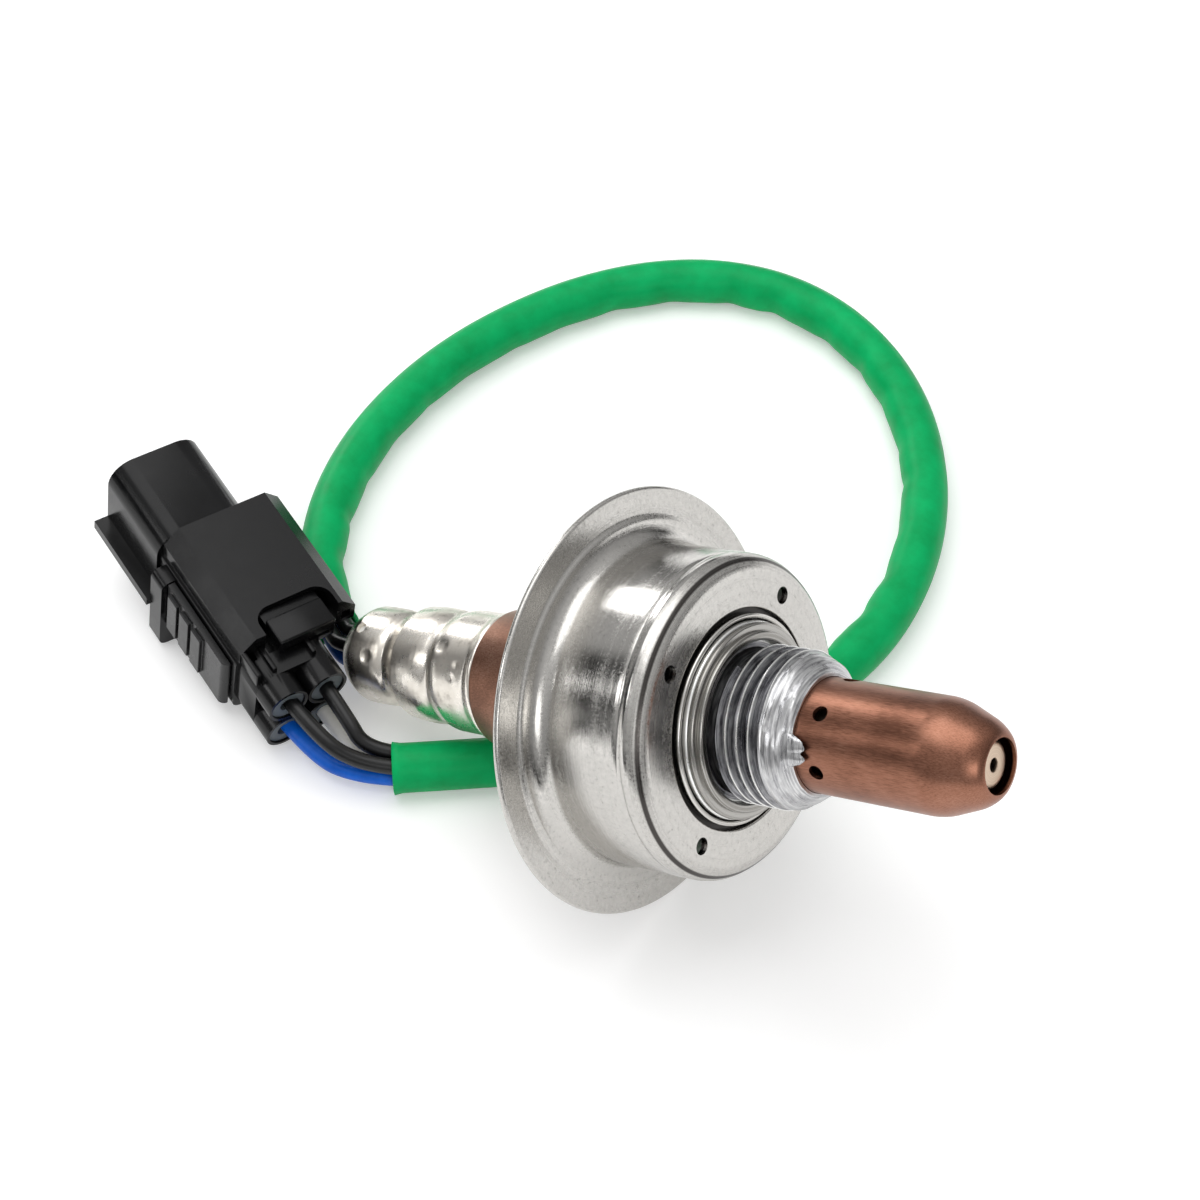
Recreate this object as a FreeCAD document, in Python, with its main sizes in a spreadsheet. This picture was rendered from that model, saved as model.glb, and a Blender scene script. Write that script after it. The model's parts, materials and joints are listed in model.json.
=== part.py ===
import FreeCAD, Part
import math
import os
import Sketcher

# Heated oxygen sensor with a stamped heat shield, a green lead sleeve and a four-way connector.
# Each sensor piece is drawn on its own X axis: 0 is the rear face of the shield's rim, + is the tip.
# Each connector piece is drawn with X towards the wires: 0 is the wire face, Y and Z the cavity centre.

# Driving sizes in millimetres, and angles in degrees. A bare 1 or 2 in a cut only carries it past
# the surface that it goes through.
SIZES = {
    # stamped heat shield
    "shield_radius": 24.75,
    "shield_wall": 0.8,
    "shield_cup_radius": 18.55,
    "shield_depth": 15.2,
    "shield_root_round": 2.3,
    "shield_front_round": 2.0,
    "shield_hole_radius": 12.46,
    "shield_step_radius": 21.6,
    "shield_step_height": 0.35,
    "bead_depth": 0.25,
    "bead_width": 1.0,
    "bead_setback": 2.35,
    "vent_radius": 1.0,
    "vent_circle": 14.9,
    "vent_turn": 29.0,
    "vent_count": 4,
    # turned steel housing
    "boss_radius": 9.6,
    "boss_length": 8.0,
    "hex_flats": 22.0,
    "hex_length": 6.4,
    "seat_radius": 13.8,
    "seat_thickness": 2.0,
    "collar_radius": 11.2,
    "collar_length": 1.6,
    "neck_radius": 8.2,
    "neck_length": 1.4,
    "thread_radius": 8.98,
    "thread_length": 8.2,
    "thread_chamfer": 0.9,
    "tube_grip": 4.5,
    "insulator_bore_radius": 5.2,
    "insulator_bore_length": 12.0,
    "talc_bore_radius": 7.0,
    # ring and gasket
    "ring_width": 1.0,
    "ring_thickness": 1.2,
    "gasket_inner_radius": 9.2,
    "gasket_outer_radius": 11.0,
    "gasket_thickness": 1.2,
    "gasket_round": 0.5,
    # protection tubes
    "tube_radius": 6.4,
    "tube_wall": 0.5,
    "tube_straight": 16.2,
    "tube_cone_length": 4.6,
    "tube_nose_radius": 4.6,
    "tube_nose_round": 1.1,
    "tube_opening_radius": 3.05,
    "tube_hole_radius": 0.9,
    "tube_hole_setback": 2.8,
    "tube_hole_turn": 23.0,
    "tube_hole_count": 6,
    "inner_tube_radius": 4.2,
    "inner_tube_wall": 0.4,
    "inner_tube_straight": 14.5,
    "inner_nose_radius": 2.7,
    "inner_nose_round": 0.4,
    "inner_nose_setback": 0.8,
    "inner_opening_radius": 0.75,
    "inner_hole_radius": 0.7,
    "inner_hole_setback": 7.5,
    "inner_flange_thickness": 0.6,
    # element, ceramics and contacts
    "element_width": 4.0,
    "element_thickness": 1.5,
    "element_front_gap": 5.0,
    "element_setback": 2.2,
    "slot_clearance": 0.1,
    "fit_clearance": 0.1,
    "press_clearance": 0.05,
    "contact_clearance": 0.03,
    "talc_length": 6.0,
    "upper_insulator_length": 8.0,
    "upper_neck_radius": 5.4,
    "upper_neck_length": 8.0,
    "holder_radius": 6.1,
    "holder_length": 10.2,
    "holder_gap": 0.4,
    "contact_width": 1.1,
    "contact_gauge": 0.35,
    "contact_spread": 0.6,
    "crimp_radius": 1.3,
    "crimp_length": 3.6,
    "crimp_floor": 0.3,
    # rear shell and crimped sleeve
    "shell_wall": 0.7,
    "shell_grip": 6.0,
    "shell_straight": 9.4,
    "shell_rear_radius": 8.25,
    "shell_cone_length": 13.5,
    "shell_neck_radius": 6.85,
    "shell_neck_length": 5.1,
    "sleeve_wall": 0.5,
    "lip_radius": 7.95,
    "lip_length": 0.7,
    "barrel_a_radius": 7.43,
    "barrel_a_length": 5.6,
    "groove_a_radius": 6.7,
    "groove_a_length": 1.1,
    "barrel_b_radius": 6.9,
    "barrel_b_length": 4.6,
    "barrel_b_bulge": 9.0,
    "groove_b_radius": 5.55,
    "groove_b_slope": 2.1,
    "groove_b_length": 0.9,
    "barrel_c_radius": 6.0,
    "barrel_c_slope": 0.7,
    "barrel_c_length": 5.6,
    "tail_round": 1.2,
    "tail_opening_radius": 4.4,
    "air_hole_radius": 0.7,
    "air_hole_turn": 22.0,
    "air_hole_count": 2,
    "air_hole_setback": 1.9,
    "filter_thickness": 0.5,
    "filter_setback": 0.3,
    "filter_length": 4.8,
    "grommet_radius": 4.9,
    "grommet_collar_radius": 6.2,
    "grommet_nub": 0.6,
    # leads and sleeve
    "lead_count": 4,
    "lead_radius": 1.0,
    "lead_clearance": 0.02,
    "lead_spacing": 1.6,
    "bundle_spacing": 1.03,
    "tail_lead_out": 2.0,
    "tail_turn_gap": 1.6,
    "tail_grip": 4.8,
    "plug_lead_depth": 17.0,
    "plug_lead_out": 3.4,
    "plug_turn_gap": 2.8,
    "plug_grip": 6.0,
    "cover_tube_radius": 3.1,
    "cover_tube_bore": 2.6,
    # connector
    "connector_x": -42.3,
    "connector_y": -11.9,
    "connector_heading": -22.6,
    "connector_tilt": 9.0,
    "connector_lean": 5.0,
    "cavity_pitch": 5.5,
    "exit_round": 2.7,
    "exit_length": 7.5,
    "seal_radius": 2.25,
    "seal_length": 6.0,
    "seal_setback": 0.3,
    "terminal_bore_radius": 1.45,
    "body_half_width": 5.9,
    "body_top": 4.6,
    "body_bottom": 5.5,
    "body_round": 1.2,
    "socket_length": 12.7,
    "socket_half_width": 6.4,
    "socket_top": 7.4,
    "socket_bottom": 5.6,
    "socket_round": 3.4,
    "socket_wall": 1.1,
    "socket_depth": 14.5,
    "hood_length": 19.0,
    "hood_overhang": 0.2,
    "hood_near": 5.5,
    "hood_far": 10.8,
    "hood_top": 8.15,
    "hood_chamfer": 2.05,
    "hood_rail_bottom": 3.6,
    "hood_plate": 0.75,
    "hood_rail": 2.6,
    "hood_thick_side": 0.9,
    "hood_notch_depth": 3.7,
    "hood_notch_round": 2.2,
    "hood_room_depth": 13.0,
    "rail_slot_width": 1.2,
    "rail_slot_height": 1.4,
    "rail_slot_depth": 3.0,
    "rail_slot_inset": 0.7,
    "latch_near": 0.9,
    "latch_far": 6.9,
    "latch_bottom": 4.9,
    "latch_thickness": 2.2,
    "latch_reach": 1.2,
    "latch_root": 0.5,
    "latch_slot_height": 0.9,
    "latch_slot_margin": 0.9,
    "latch_slot_rise": 0.5,
    "latch_slot_depth": 2.0,
    "foot_thickness": 2.7,
    "foot_reach": 7.8,
    "foot_top": 3.3,
    "foot_width": 3.3,
    "foot_setback": 3.8,
    "foot_round": 1.2,
    "near_foot_drop": 9.75,
    "far_foot_drop": 8.68,
    "lug_reach": 8.3,
    "lug_top": 2.4,
    "lug_thickness": 1.4,
    "retainer_length": 14.0,
    "retainer_reach": 7.0,
    "retainer_top": 3.2,
    "retainer_bottom": 5.4,
    "retainer_round": 0.9,
    "rib_width": 2.2,
    "rib_pitch": 2.9,
    "rib_height": 0.5,
    "rib_count": 3,
    "rib_margin": 0.9,
    "pin_width": 1.0,
    "pin_length": 12.0,
    "pin_setback": 3.5,
    "pin_tip": 0.3,
    "pin_clearance": 0.03,
    "terminal_crimp_length": 9.0,
}

# Places and sizes that follow from the driving ones.
PLACES = {
    "seat_front": "shield_depth - shield_wall",
    "seat_back": "seat_front - seat_thickness",
    "hex_back": "seat_back - hex_length",
    "boss_back": "hex_back - boss_length",
    "collar_front": "seat_front + collar_length",
    "thread_start": "collar_front + neck_length",
    "thread_end": "thread_start + thread_length",
    "housing_end": "thread_end + thread_chamfer",
    "hex_corner": "hex_flats / sqrt(3)",
    "hex_half_corner": "hex_flats / sqrt(3) / 2",
    "hex_half_flats": "hex_flats / 2",
    "tube_seat": "housing_end - tube_grip",
    "tube_bore_radius": "tube_radius + fit_clearance / 2",
    "talc_front": "tube_seat - insulator_bore_length",
    "step_inner": "shield_step_radius - shield_step_height",
    "bead_back": "shield_depth - bead_setback - bead_width",
    "bead_front": "shield_depth - bead_setback",
    "bead_middle": "shield_depth - bead_setback - bead_width / 2",
    "ring_inner_radius": "collar_radius + fit_clearance",
    "cone_start": "housing_end + tube_straight",
    "cone_end": "cone_start + tube_cone_length",
    "tube_end": "cone_end + tube_nose_round",
    "tube_hole_x": "housing_end + tube_hole_setback",
    "inner_flange_radius": "tube_radius - tube_wall - fit_clearance",
    "inner_cone_start": "housing_end + inner_tube_straight",
    "inner_end": "tube_end - inner_nose_setback",
    "inner_cone_end": "inner_end - inner_nose_round",
    "inner_hole_x": "housing_end + inner_hole_setback",
    "element_front": "inner_end - element_front_gap",
    "half_element_width": "element_width / 2",
    "half_element_thickness": "element_thickness / 2",
    "lower_insulator_radius": "insulator_bore_radius - fit_clearance",
    "talc_radius": "talc_bore_radius - fit_clearance",
    "talc_back": "talc_front - talc_length",
    "upper_back": "talc_back - upper_insulator_length",
    "upper_end": "upper_back - upper_neck_length",
    "holder_front": "upper_end - holder_gap",
    "holder_back": "holder_front - holder_length",
    "element_back": "holder_back + element_setback",
    "element_length": "element_front - element_back",
    "contact_outer": "half_element_thickness + contact_spread + contact_gauge",
    "contact_touch": "half_element_thickness + contact_clearance",
    "contact_middle": "(holder_front + holder_back) / 2",
    "contact_lane": "element_width / 4",
    "crimp_front": "holder_back - fit_clearance",
    "crimp_back": "crimp_front - crimp_length",
    "shell_inner_radius": "boss_radius + fit_clearance",
    "shell_radius": "shell_inner_radius + shell_wall",
    "shell_front": "boss_back + shell_grip",
    "shell_cone_front": "shell_front - shell_straight",
    "shell_shoulder": "shell_cone_front - shell_cone_length",
    "shell_end": "shell_shoulder - shell_neck_length",
    "lip_front": "shell_shoulder - press_clearance",
    "lip_back": "lip_front - lip_length",
    "barrel_a_front": "lip_back - lip_length",
    "barrel_a_back": "barrel_a_front - barrel_a_length",
    "groove_a_middle": "barrel_a_back - groove_a_length",
    "barrel_b_front": "groove_a_middle - groove_a_length",
    "barrel_b_back": "barrel_b_front - barrel_b_length",
    "groove_b_front": "barrel_b_back - groove_b_slope",
    "groove_b_back": "groove_b_front - groove_b_length",
    "barrel_c_front": "groove_b_back - barrel_c_slope",
    "barrel_c_back": "barrel_c_front - barrel_c_length",
    "tail": "barrel_c_back - tail_round",
    "tail_round_radius": "barrel_c_radius - tail_round",
    "inner_round": "tail_round - sleeve_wall",
    "sleeve_neck_clear": "shell_neck_radius + press_clearance",
    "air_hole_x": "barrel_c_back + air_hole_setback",
    "filter_back": "barrel_c_back + filter_setback",
    "filter_front": "filter_back + filter_length",
    "filter_outer": "barrel_c_radius - sleeve_wall - contact_clearance",
    "grommet_back": "tail + sleeve_wall + press_clearance",
    "grommet_end": "tail - grommet_nub + sleeve_wall",
    "nub_radius": "tail_opening_radius - fit_clearance",
    "lead_hole_radius": "lead_radius + lead_clearance",
    "lead_start": "crimp_front - crimp_floor",
    "half_pitch": "cavity_pitch / 2",
    "exit_half": "half_pitch + exit_round",
    "seal_bore_radius": "seal_radius + press_clearance",
    "hood_back": "0 - exit_length + hood_overhang",
    "hood_front": "hood_back - hood_length",
    "socket_front": "hood_front - socket_length",
    "socket_floor": "socket_front + socket_depth",
    "room_near": "0 - hood_near + hood_rail + hood_thick_side",
    "room_far": "hood_far - hood_rail",
    "room_top": "hood_top - hood_plate",
    "room_front": "hood_back - hood_room_depth",
    "notch_front": "hood_back - hood_notch_depth",
    "latch_end": "hood_back + latch_reach",
    "latch_top": "latch_bottom + latch_thickness",
    "foot_back": "hood_front + foot_setback",
    "foot_front": "foot_back - foot_thickness",
    "retainer_front": "foot_back + fit_clearance",
    "retainer_back": "retainer_front + retainer_length",
    "rib_start": "retainer_front + rib_margin",
    "pin_front": "socket_front + pin_setback",
    "pin_back": "pin_front + pin_length",
    "terminal_back": "pin_back + terminal_crimp_length",
    "socket_inner_round": "socket_round - socket_wall",
    "pin_half": "pin_width / 2",
    "plug_lead_start": "0 - plug_lead_depth",
    "rib_span": "rib_pitch * (rib_count - 1)",
    "seal_back": "0 - seal_setback",
    "seal_front": "seal_back - seal_length",
}

# The lead sleeve's route over the floor, from the sensor round to the connector.
SLEEVE_ROUTE = [
    (-48.8, 2.1), (-53.4, 5.9), (-58.3, 12.0), (-62.3, 20.3), (-64.8, 30.0), (-65.4, 40.8),
    (-63.9, 51.5), (-60.6, 61.6), (-56.0, 70.6), (-49.8, 78.3), (-42.2, 83.9), (-33.2, 86.8),
    (-23.7, 86.3), (-14.2, 82.6), (-5.2, 75.6), (2.3, 66.0), (7.3, 55.0), (9.7, 43.7),
    (9.2, 32.6), (5.6, 21.9), (-1.2, 11.7), (-9.9, 3.1), (-20.1, -5.0), (-29.3, -12.0),
]

# How much of the shorter run beside a corner of a route its arc takes up.
ARC_SHARE = 0.45

# The four leads: colour, then side (+1 is away from the viewer) and level (+1 is up).
LEADS = {"black_near": (-1, 1), "blue": (-1, -1), "black_far": (1, 1), "white": (1, -1)}

os.makedirs("parts", exist_ok=True)
doc = FreeCAD.newDocument("OxygenSensor")


def fill_sheet(label, rows, text):
    """Writes one named value to each row of a sheet."""
    sheet = doc.addObject("Spreadsheet::Sheet", label)
    for row, (name, content) in enumerate(rows.items(), start=1):
        sheet.set("A%d" % row, name)
        sheet.set("B%d" % row, text(content))
        sheet.setAlias("B%d" % row, name)
    doc.recompute()
    return sheet


def with_sheets(formula):
    """Puts the sheet's name before each driving size in a formula."""
    spaced = formula.replace("(", "( ").replace(")", " )")
    return " ".join("Sizes." + word if word in SIZES else word for word in spaced.split())


sizes = fill_sheet("Sizes", SIZES, str)
places = fill_sheet("Places", PLACES, lambda formula: "=" + with_sheets(formula))


def number(name):
    """The present value of one named size or place."""
    if name in SIZES:
        return float(sizes.get(name))
    if name in PLACES:
        return float(places.get(name))
    return float(name)


def value(text):
    """The present value of a sum of names such as 'tail + sleeve_wall'."""
    total, sign = 0.0, 1
    for word in text.split():
        if word in "+-":
            sign = 1 if word == "+" else -1
        else:
            total += sign * number(word)
    return total


def bound(text):
    """The same sum as an expression that reads the two sheets."""
    words = []
    for word in text.split():
        if word in SIZES:
            words.append("Sizes." + word)
        elif word in PLACES:
            words.append("Places." + word)
        else:
            words.append(word)
    joined = " ".join(words)
    return "0 " + joined if joined.startswith("-") else joined


def origin_plane(body, role):
    return next(item for item in body.Origin.OriginFeatures if item.Role == role)


def arc_centre(start, end, radius, side):
    """The centre of an arc of this radius, on the left (+1) or right (-1) of its chord."""
    middle = (start + end) * 0.5
    half = (end - start) * 0.5
    rise = math.sqrt(max(radius ** 2 - half.Length ** 2, 0.0))
    normal = FreeCAD.Vector(-half.y, half.x, 0).normalize()
    return middle + normal * (rise * side)


def draw(body, role, outline, start="0"):
    """Draws a closed outline whose points and radii are all bound to the sheets.

    A point is (across, up). A point that ends an arc is (across, up, radius, side of its centre).
    """
    sketch = body.newObject("Sketcher::SketchObject", "Sketch")
    sketch.AttachmentSupport = (origin_plane(body, role), "")
    sketch.MapMode = "FlatFace"
    sketch.setExpression("AttachmentOffset.Base.z", bound(start))
    points = [FreeCAD.Vector(value(point[0]), value(point[1]), 0) for point in outline]
    ends = []
    for index, point in enumerate(points):
        previous = points[index - 1]
        if len(outline[index]) == 2:
            sketch.addGeometry(Part.LineSegment(previous, point), False)
            ends.append((1, 2))
            continue
        radius, side = value(outline[index][2]), outline[index][3]
        centre = arc_centre(previous, point, radius, side)
        circle = Part.Circle(centre, FreeCAD.Vector(0, 0, 1), radius)
        angles = [math.atan2(p.y - centre.y, p.x - centre.x) for p in (previous, point)]
        if side < 0:
            angles.reverse()
        if angles[1] < angles[0]:
            angles[1] += 2 * math.pi
        sketch.addGeometry(Part.ArcOfCircle(circle, angles[0], angles[1]), False)
        ends.append((1, 2) if side > 0 else (2, 1))
    count = len(outline)
    for index in range(count):
        after = (index + 1) % count
        join = Sketcher.Constraint("Coincident", index, ends[index][1], after, ends[after][0])
        sketch.addConstraint(join)
    for index, point in enumerate(outline):
        for kind, text in (("DistanceX", point[0]), ("DistanceY", point[1])):
            if text == "0":
                target = (-2,) if kind == "DistanceX" else (-1,)
                sketch.addConstraint(
                    Sketcher.Constraint("PointOnObject", index, ends[index][1], *target))
                continue
            number_of = sketch.addConstraint(
                Sketcher.Constraint(kind, -1, 1, index, ends[index][1], value(text)))
            sketch.setExpression("Constraints[%d]" % number_of, bound(text))
        if len(point) == 4:
            number_of = sketch.addConstraint(
                Sketcher.Constraint("Radius", index, value(point[2])))
            sketch.setExpression("Constraints[%d]" % number_of, bound(point[2]))
    return sketch


def draw_circle(body, role, across, up, radius, start="0", turned=FreeCAD.Rotation()):
    """Draws a circle, in a plane that may be turned about one of its own axes."""
    sketch = body.newObject("Sketcher::SketchObject", "Sketch")
    sketch.AttachmentSupport = (origin_plane(body, role), "")
    sketch.MapMode = "FlatFace"
    sketch.AttachmentOffset = FreeCAD.Placement(FreeCAD.Vector(), turned)
    sketch.setExpression("AttachmentOffset.Base.z", bound(start))
    centre = FreeCAD.Vector(value(across), value(up), 0)
    sketch.addGeometry(Part.Circle(centre, FreeCAD.Vector(0, 0, 1), value(radius)), False)
    sketch.addConstraint(Sketcher.Constraint("Radius", 0, value(radius)))
    sketch.setExpression("Constraints[0]", bound(radius))
    for kind, text, axis in (("DistanceX", across, -2), ("DistanceY", up, -1)):
        if text == "0":
            sketch.addConstraint(Sketcher.Constraint("PointOnObject", 0, 3, axis))
            continue
        number_of = sketch.addConstraint(Sketcher.Constraint(kind, -1, 1, 0, 3, value(text)))
        sketch.setExpression("Constraints[%d]" % number_of, bound(text))
    return sketch


def new_body(label):
    body = doc.addObject("PartDesign::Body", label)
    body.Label = label
    return body


def turn(body, outline, cut=False):
    """Turns an outline of (x, radius) points about the piece's X axis."""
    sketch = draw(body, "XY_Plane", outline)
    feature = body.newObject("PartDesign::Groove" if cut else "PartDesign::Revolution", "Turn")
    feature.Profile = sketch
    feature.ReferenceAxis = (sketch, ["H_Axis"])
    feature.Angle = 360
    doc.recompute()
    return feature


def pad(body, sketch, length, backwards=False):
    feature = body.newObject("PartDesign::Pad", "Pad")
    feature.Profile = sketch
    feature.Reversed = backwards
    feature.setExpression("Length", bound(length))
    doc.recompute()
    return feature


def pocket(body, sketch, length, forwards=False):
    """Cuts from the sketch against its normal, or along it when forwards is set."""
    before = body.Shape.Volume
    feature = body.newObject("PartDesign::Pocket", "Pocket")
    feature.Profile = sketch
    feature.Reversed = forwards
    feature.setExpression("Length", bound(length))
    doc.recompute()
    if body.Shape.Volume > before - 1e-6:
        raise RuntimeError("a pocket in %s cuts nothing" % body.Label)
    return feature


def around(body, feature, count):
    """Repeats one feature about the piece's X axis."""
    pattern = body.newObject("PartDesign::PolarPattern", "Ring")
    pattern.Originals = [feature]
    pattern.Axis = (origin_plane(body, "X_Axis"), [""])
    pattern.Angle = 360
    pattern.setExpression("Occurrences", bound(count))
    body.Tip = pattern
    doc.recompute()
    return pattern


# Resting pose: the shield's rim and the rounded tail of the sleeve both touch the floor.
def rest_tilt():
    rise = number("shield_radius") - number("tail_round_radius")
    run = -number("barrel_c_back")
    span = math.hypot(rise, run)
    return math.acos(number("tail_round") / span) - math.atan2(run, rise)


def frame_shift():
    """How far the sensor moves along -X, so that the middle of its length is over the origin."""
    tilt = rest_tilt()
    nose = number("tube_end") * math.cos(tilt)
    nose += (number("tube_nose_radius") - number("tube_nose_round")) * math.sin(tilt)
    rear = number("barrel_c_back") * math.cos(tilt)
    rear -= number("tail_round_radius") * math.sin(tilt) + number("tail_round")
    return (nose + rear) / 2


def sensor_placement():
    tilt = rest_tilt()
    base = FreeCAD.Vector(-frame_shift(), 0, number("shield_radius") * math.cos(tilt))
    turn_up = FreeCAD.Rotation(FreeCAD.Vector(0, -1, 0), math.degrees(tilt))
    return FreeCAD.Placement(base, turn_up)


def connector_placement():
    """Heading, then wire end down, then lean, with the lowest wire exit on the floor."""
    heading = FreeCAD.Rotation(FreeCAD.Vector(0, 0, 1), number("connector_heading"))
    tilt = FreeCAD.Rotation(FreeCAD.Vector(0, 1, 0), number("connector_tilt"))
    lean = FreeCAD.Rotation(FreeCAD.Vector(1, 0, 0), -number("connector_lean"))
    rotation = heading.multiply(tilt).multiply(lean)
    half, round_off = number("half_pitch"), number("exit_round")
    low = rotation.multVec(FreeCAD.Vector(0, half, -half)).z
    side, up = rotation.multVec(FreeCAD.Vector(0, 1, 0)).z, rotation.multVec(FreeCAD.Vector(0, 0, 1)).z
    height = round_off * math.hypot(side, up) - low
    base = FreeCAD.Vector(number("connector_x"), number("connector_y"), height)
    return FreeCAD.Placement(base, rotation)


SENSOR = sensor_placement()
CONNECTOR = connector_placement()
EXPORTS = []


def finish(piece, placement):
    piece.Placement = placement
    EXPORTS.append(piece)
    return piece


# Sensor
def heat_shield_cup():
    body = new_body("heat_shield_cup")
    radius, round_off = "shield_cup_radius", "shield_front_round"
    turn(body, [
        ("0", "shield_radius"),
        ("shield_wall", "shield_radius"),
        ("shield_wall", "shield_step_radius"),
        ("shield_wall + shield_step_height", "step_inner"),
        ("shield_wall + shield_step_height", "shield_cup_radius + shield_root_round"),
        ("shield_wall + shield_step_height + shield_root_round", radius, "shield_root_round", 1),
        ("bead_back", radius),
        ("bead_middle", "shield_cup_radius - bead_depth"),
        ("bead_front", radius),
        ("shield_depth - shield_front_round", radius),
        ("shield_depth", "shield_cup_radius - shield_front_round", round_off, -1),
        ("shield_depth", "shield_hole_radius"),
        ("shield_depth - shield_wall", "shield_hole_radius"),
        ("shield_depth - shield_wall", "shield_cup_radius - shield_front_round"),
        ("shield_depth - shield_front_round", "shield_cup_radius - shield_wall",
         "shield_front_round - shield_wall", 1),
        ("bead_front", "shield_cup_radius - shield_wall"),
        ("bead_middle", "shield_cup_radius - shield_wall - bead_depth"),
        ("bead_back", "shield_cup_radius - shield_wall"),
        ("shield_step_height + shield_root_round + shield_wall",
         "shield_cup_radius - shield_wall"),
        ("shield_step_height", "shield_cup_radius + shield_root_round",
         "shield_root_round + shield_wall", -1),
        ("shield_step_height", "step_inner"),
        ("0", "shield_step_radius"),
    ])
    hole = draw_circle(body, "YZ_Plane", "0", "vent_circle", "vent_radius", "shield_depth + 1",
                       FreeCAD.Rotation(FreeCAD.Vector(0, 0, 1), number("vent_turn")))
    around(body, pocket(body, hole, "shield_wall + 2"), "vent_count")
    return finish(body, SENSOR)


def threaded_housing():
    body = new_body("threaded_housing")
    turn(body, [
        ("boss_back", "0"),
        ("boss_back", "boss_radius"),
        ("seat_back", "boss_radius"),
        ("seat_back", "seat_radius"),
        ("seat_front", "seat_radius"),
        ("seat_front", "collar_radius"),
        ("collar_front", "collar_radius"),
        ("collar_front", "neck_radius"),
        ("thread_start", "neck_radius"),
        ("thread_start + thread_chamfer", "thread_radius"),
        ("thread_end", "thread_radius"),
        ("housing_end", "thread_radius - thread_chamfer"),
        ("housing_end", "0"),
    ])
    hexagon = draw(body, "YZ_Plane", [
        ("hex_corner", "0"),
        ("hex_half_corner", "hex_half_flats"),
        ("- hex_half_corner", "hex_half_flats"),
        ("- hex_corner", "0"),
        ("- hex_half_corner", "- hex_half_flats"),
        ("hex_half_corner", "- hex_half_flats"),
    ], "hex_back")
    pad(body, hexagon, "hex_length")
    turn(body, [
        ("boss_back - 1", "0"),
        ("boss_back - 1", "talc_bore_radius"),
        ("talc_front", "talc_bore_radius"),
        ("talc_front", "insulator_bore_radius"),
        ("tube_seat", "insulator_bore_radius"),
        ("tube_seat", "tube_bore_radius"),
        ("housing_end + 1", "tube_bore_radius"),
        ("housing_end + 1", "0"),
    ], cut=True)
    return finish(body, SENSOR)


def ring(label, back, front, inner, outer):
    body = new_body(label)
    turn(body, [(back, inner), (back, outer), (front, outer), (front, inner)])
    return finish(body, SENSOR)


def gasket_ring():
    body = new_body("gasket_ring")
    low, high, round_off = "collar_front", "collar_front + gasket_thickness", "gasket_round"
    inner, outer = "gasket_inner_radius", "gasket_outer_radius"
    turn(body, [
        (low + " + gasket_round", outer, round_off, -1),
        (high + " - gasket_round", outer),
        (high, outer + " - gasket_round", round_off, -1),
        (high, inner + " + gasket_round"),
        (high + " - gasket_round", inner, round_off, -1),
        (low + " + gasket_round", inner),
        (low, inner + " + gasket_round", round_off, -1),
        (low, outer + " - gasket_round"),
    ])
    return finish(body, SENSOR)


def outer_protection_tube():
    body = new_body("outer_protection_tube")
    turn(body, [
        ("tube_seat", "tube_radius"),
        ("cone_start", "tube_radius"),
        ("cone_end", "tube_nose_radius"),
        ("tube_end", "tube_nose_radius - tube_nose_round", "tube_nose_round", -1),
        ("tube_end", "tube_opening_radius"),
        ("tube_end - tube_wall", "tube_opening_radius"),
        ("cone_end", "tube_nose_radius - tube_wall"),
        ("cone_start", "tube_radius - tube_wall"),
        ("tube_seat", "tube_radius - tube_wall"),
    ])
    hole = draw_circle(body, "XY_Plane", "tube_hole_x", "0", "tube_hole_radius", "0",
                       FreeCAD.Rotation(FreeCAD.Vector(1, 0, 0), number("tube_hole_turn")))
    cut = pocket(body, hole, "tube_radius + 1", True)
    around(body, cut, "tube_hole_count")
    return finish(body, SENSOR)


def inner_protection_tube():
    body = new_body("inner_protection_tube")
    turn(body, [
        ("tube_seat", "inner_flange_radius"),
        ("tube_seat + inner_flange_thickness", "inner_flange_radius"),
        ("tube_seat + inner_flange_thickness", "inner_tube_radius"),
        ("inner_cone_start", "inner_tube_radius"),
        ("inner_cone_end", "inner_nose_radius"),
        ("inner_end", "inner_nose_radius - inner_nose_round", "inner_nose_round", -1),
        ("inner_end", "inner_opening_radius"),
        ("inner_end - inner_tube_wall", "inner_opening_radius"),
        ("inner_end - inner_tube_wall", "inner_nose_radius - inner_tube_wall"),
        ("inner_cone_start", "inner_tube_radius - inner_tube_wall"),
        ("tube_seat", "inner_tube_radius - inner_tube_wall"),
    ])
    hole = draw_circle(body, "XY_Plane", "inner_hole_x", "0", "inner_hole_radius")
    cut = pocket(body, hole, "inner_tube_radius + 1", True)
    around(body, cut, "tube_hole_count")
    return finish(body, SENSOR)


def rectangle(half_width, half_height):
    return [
        ("- " + half_width, "- " + half_height),
        (half_width, "- " + half_height),
        (half_width, half_height),
        ("- " + half_width, half_height),
    ]


def sensing_element():
    body = new_body("sensing_element")
    strip = draw(body, "YZ_Plane", rectangle("half_element_width", "half_element_thickness"),
                 "element_back")
    pad(body, strip, "element_length")
    return finish(body, SENSOR)


def slotted(label, outline, back, front):
    """A turned ceramic or powder ring with the flat slot that the element passes through."""
    body = new_body(label)
    turn(body, outline)
    slot = [
        ("- half_element_width - slot_clearance", "- half_element_thickness - slot_clearance"),
        ("half_element_width + slot_clearance", "- half_element_thickness - slot_clearance"),
        ("half_element_width + slot_clearance", "half_element_thickness + slot_clearance"),
        ("- half_element_width - slot_clearance", "half_element_thickness + slot_clearance"),
    ]
    pocket(body, draw(body, "YZ_Plane", slot, back + " - 1"), front + " - " + back + " + 2", True)
    return finish(body, SENSOR)


def plain_disc(back, front, radius):
    return [(back, "0"), (back, radius), (front, radius), (front, "0")]


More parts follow.
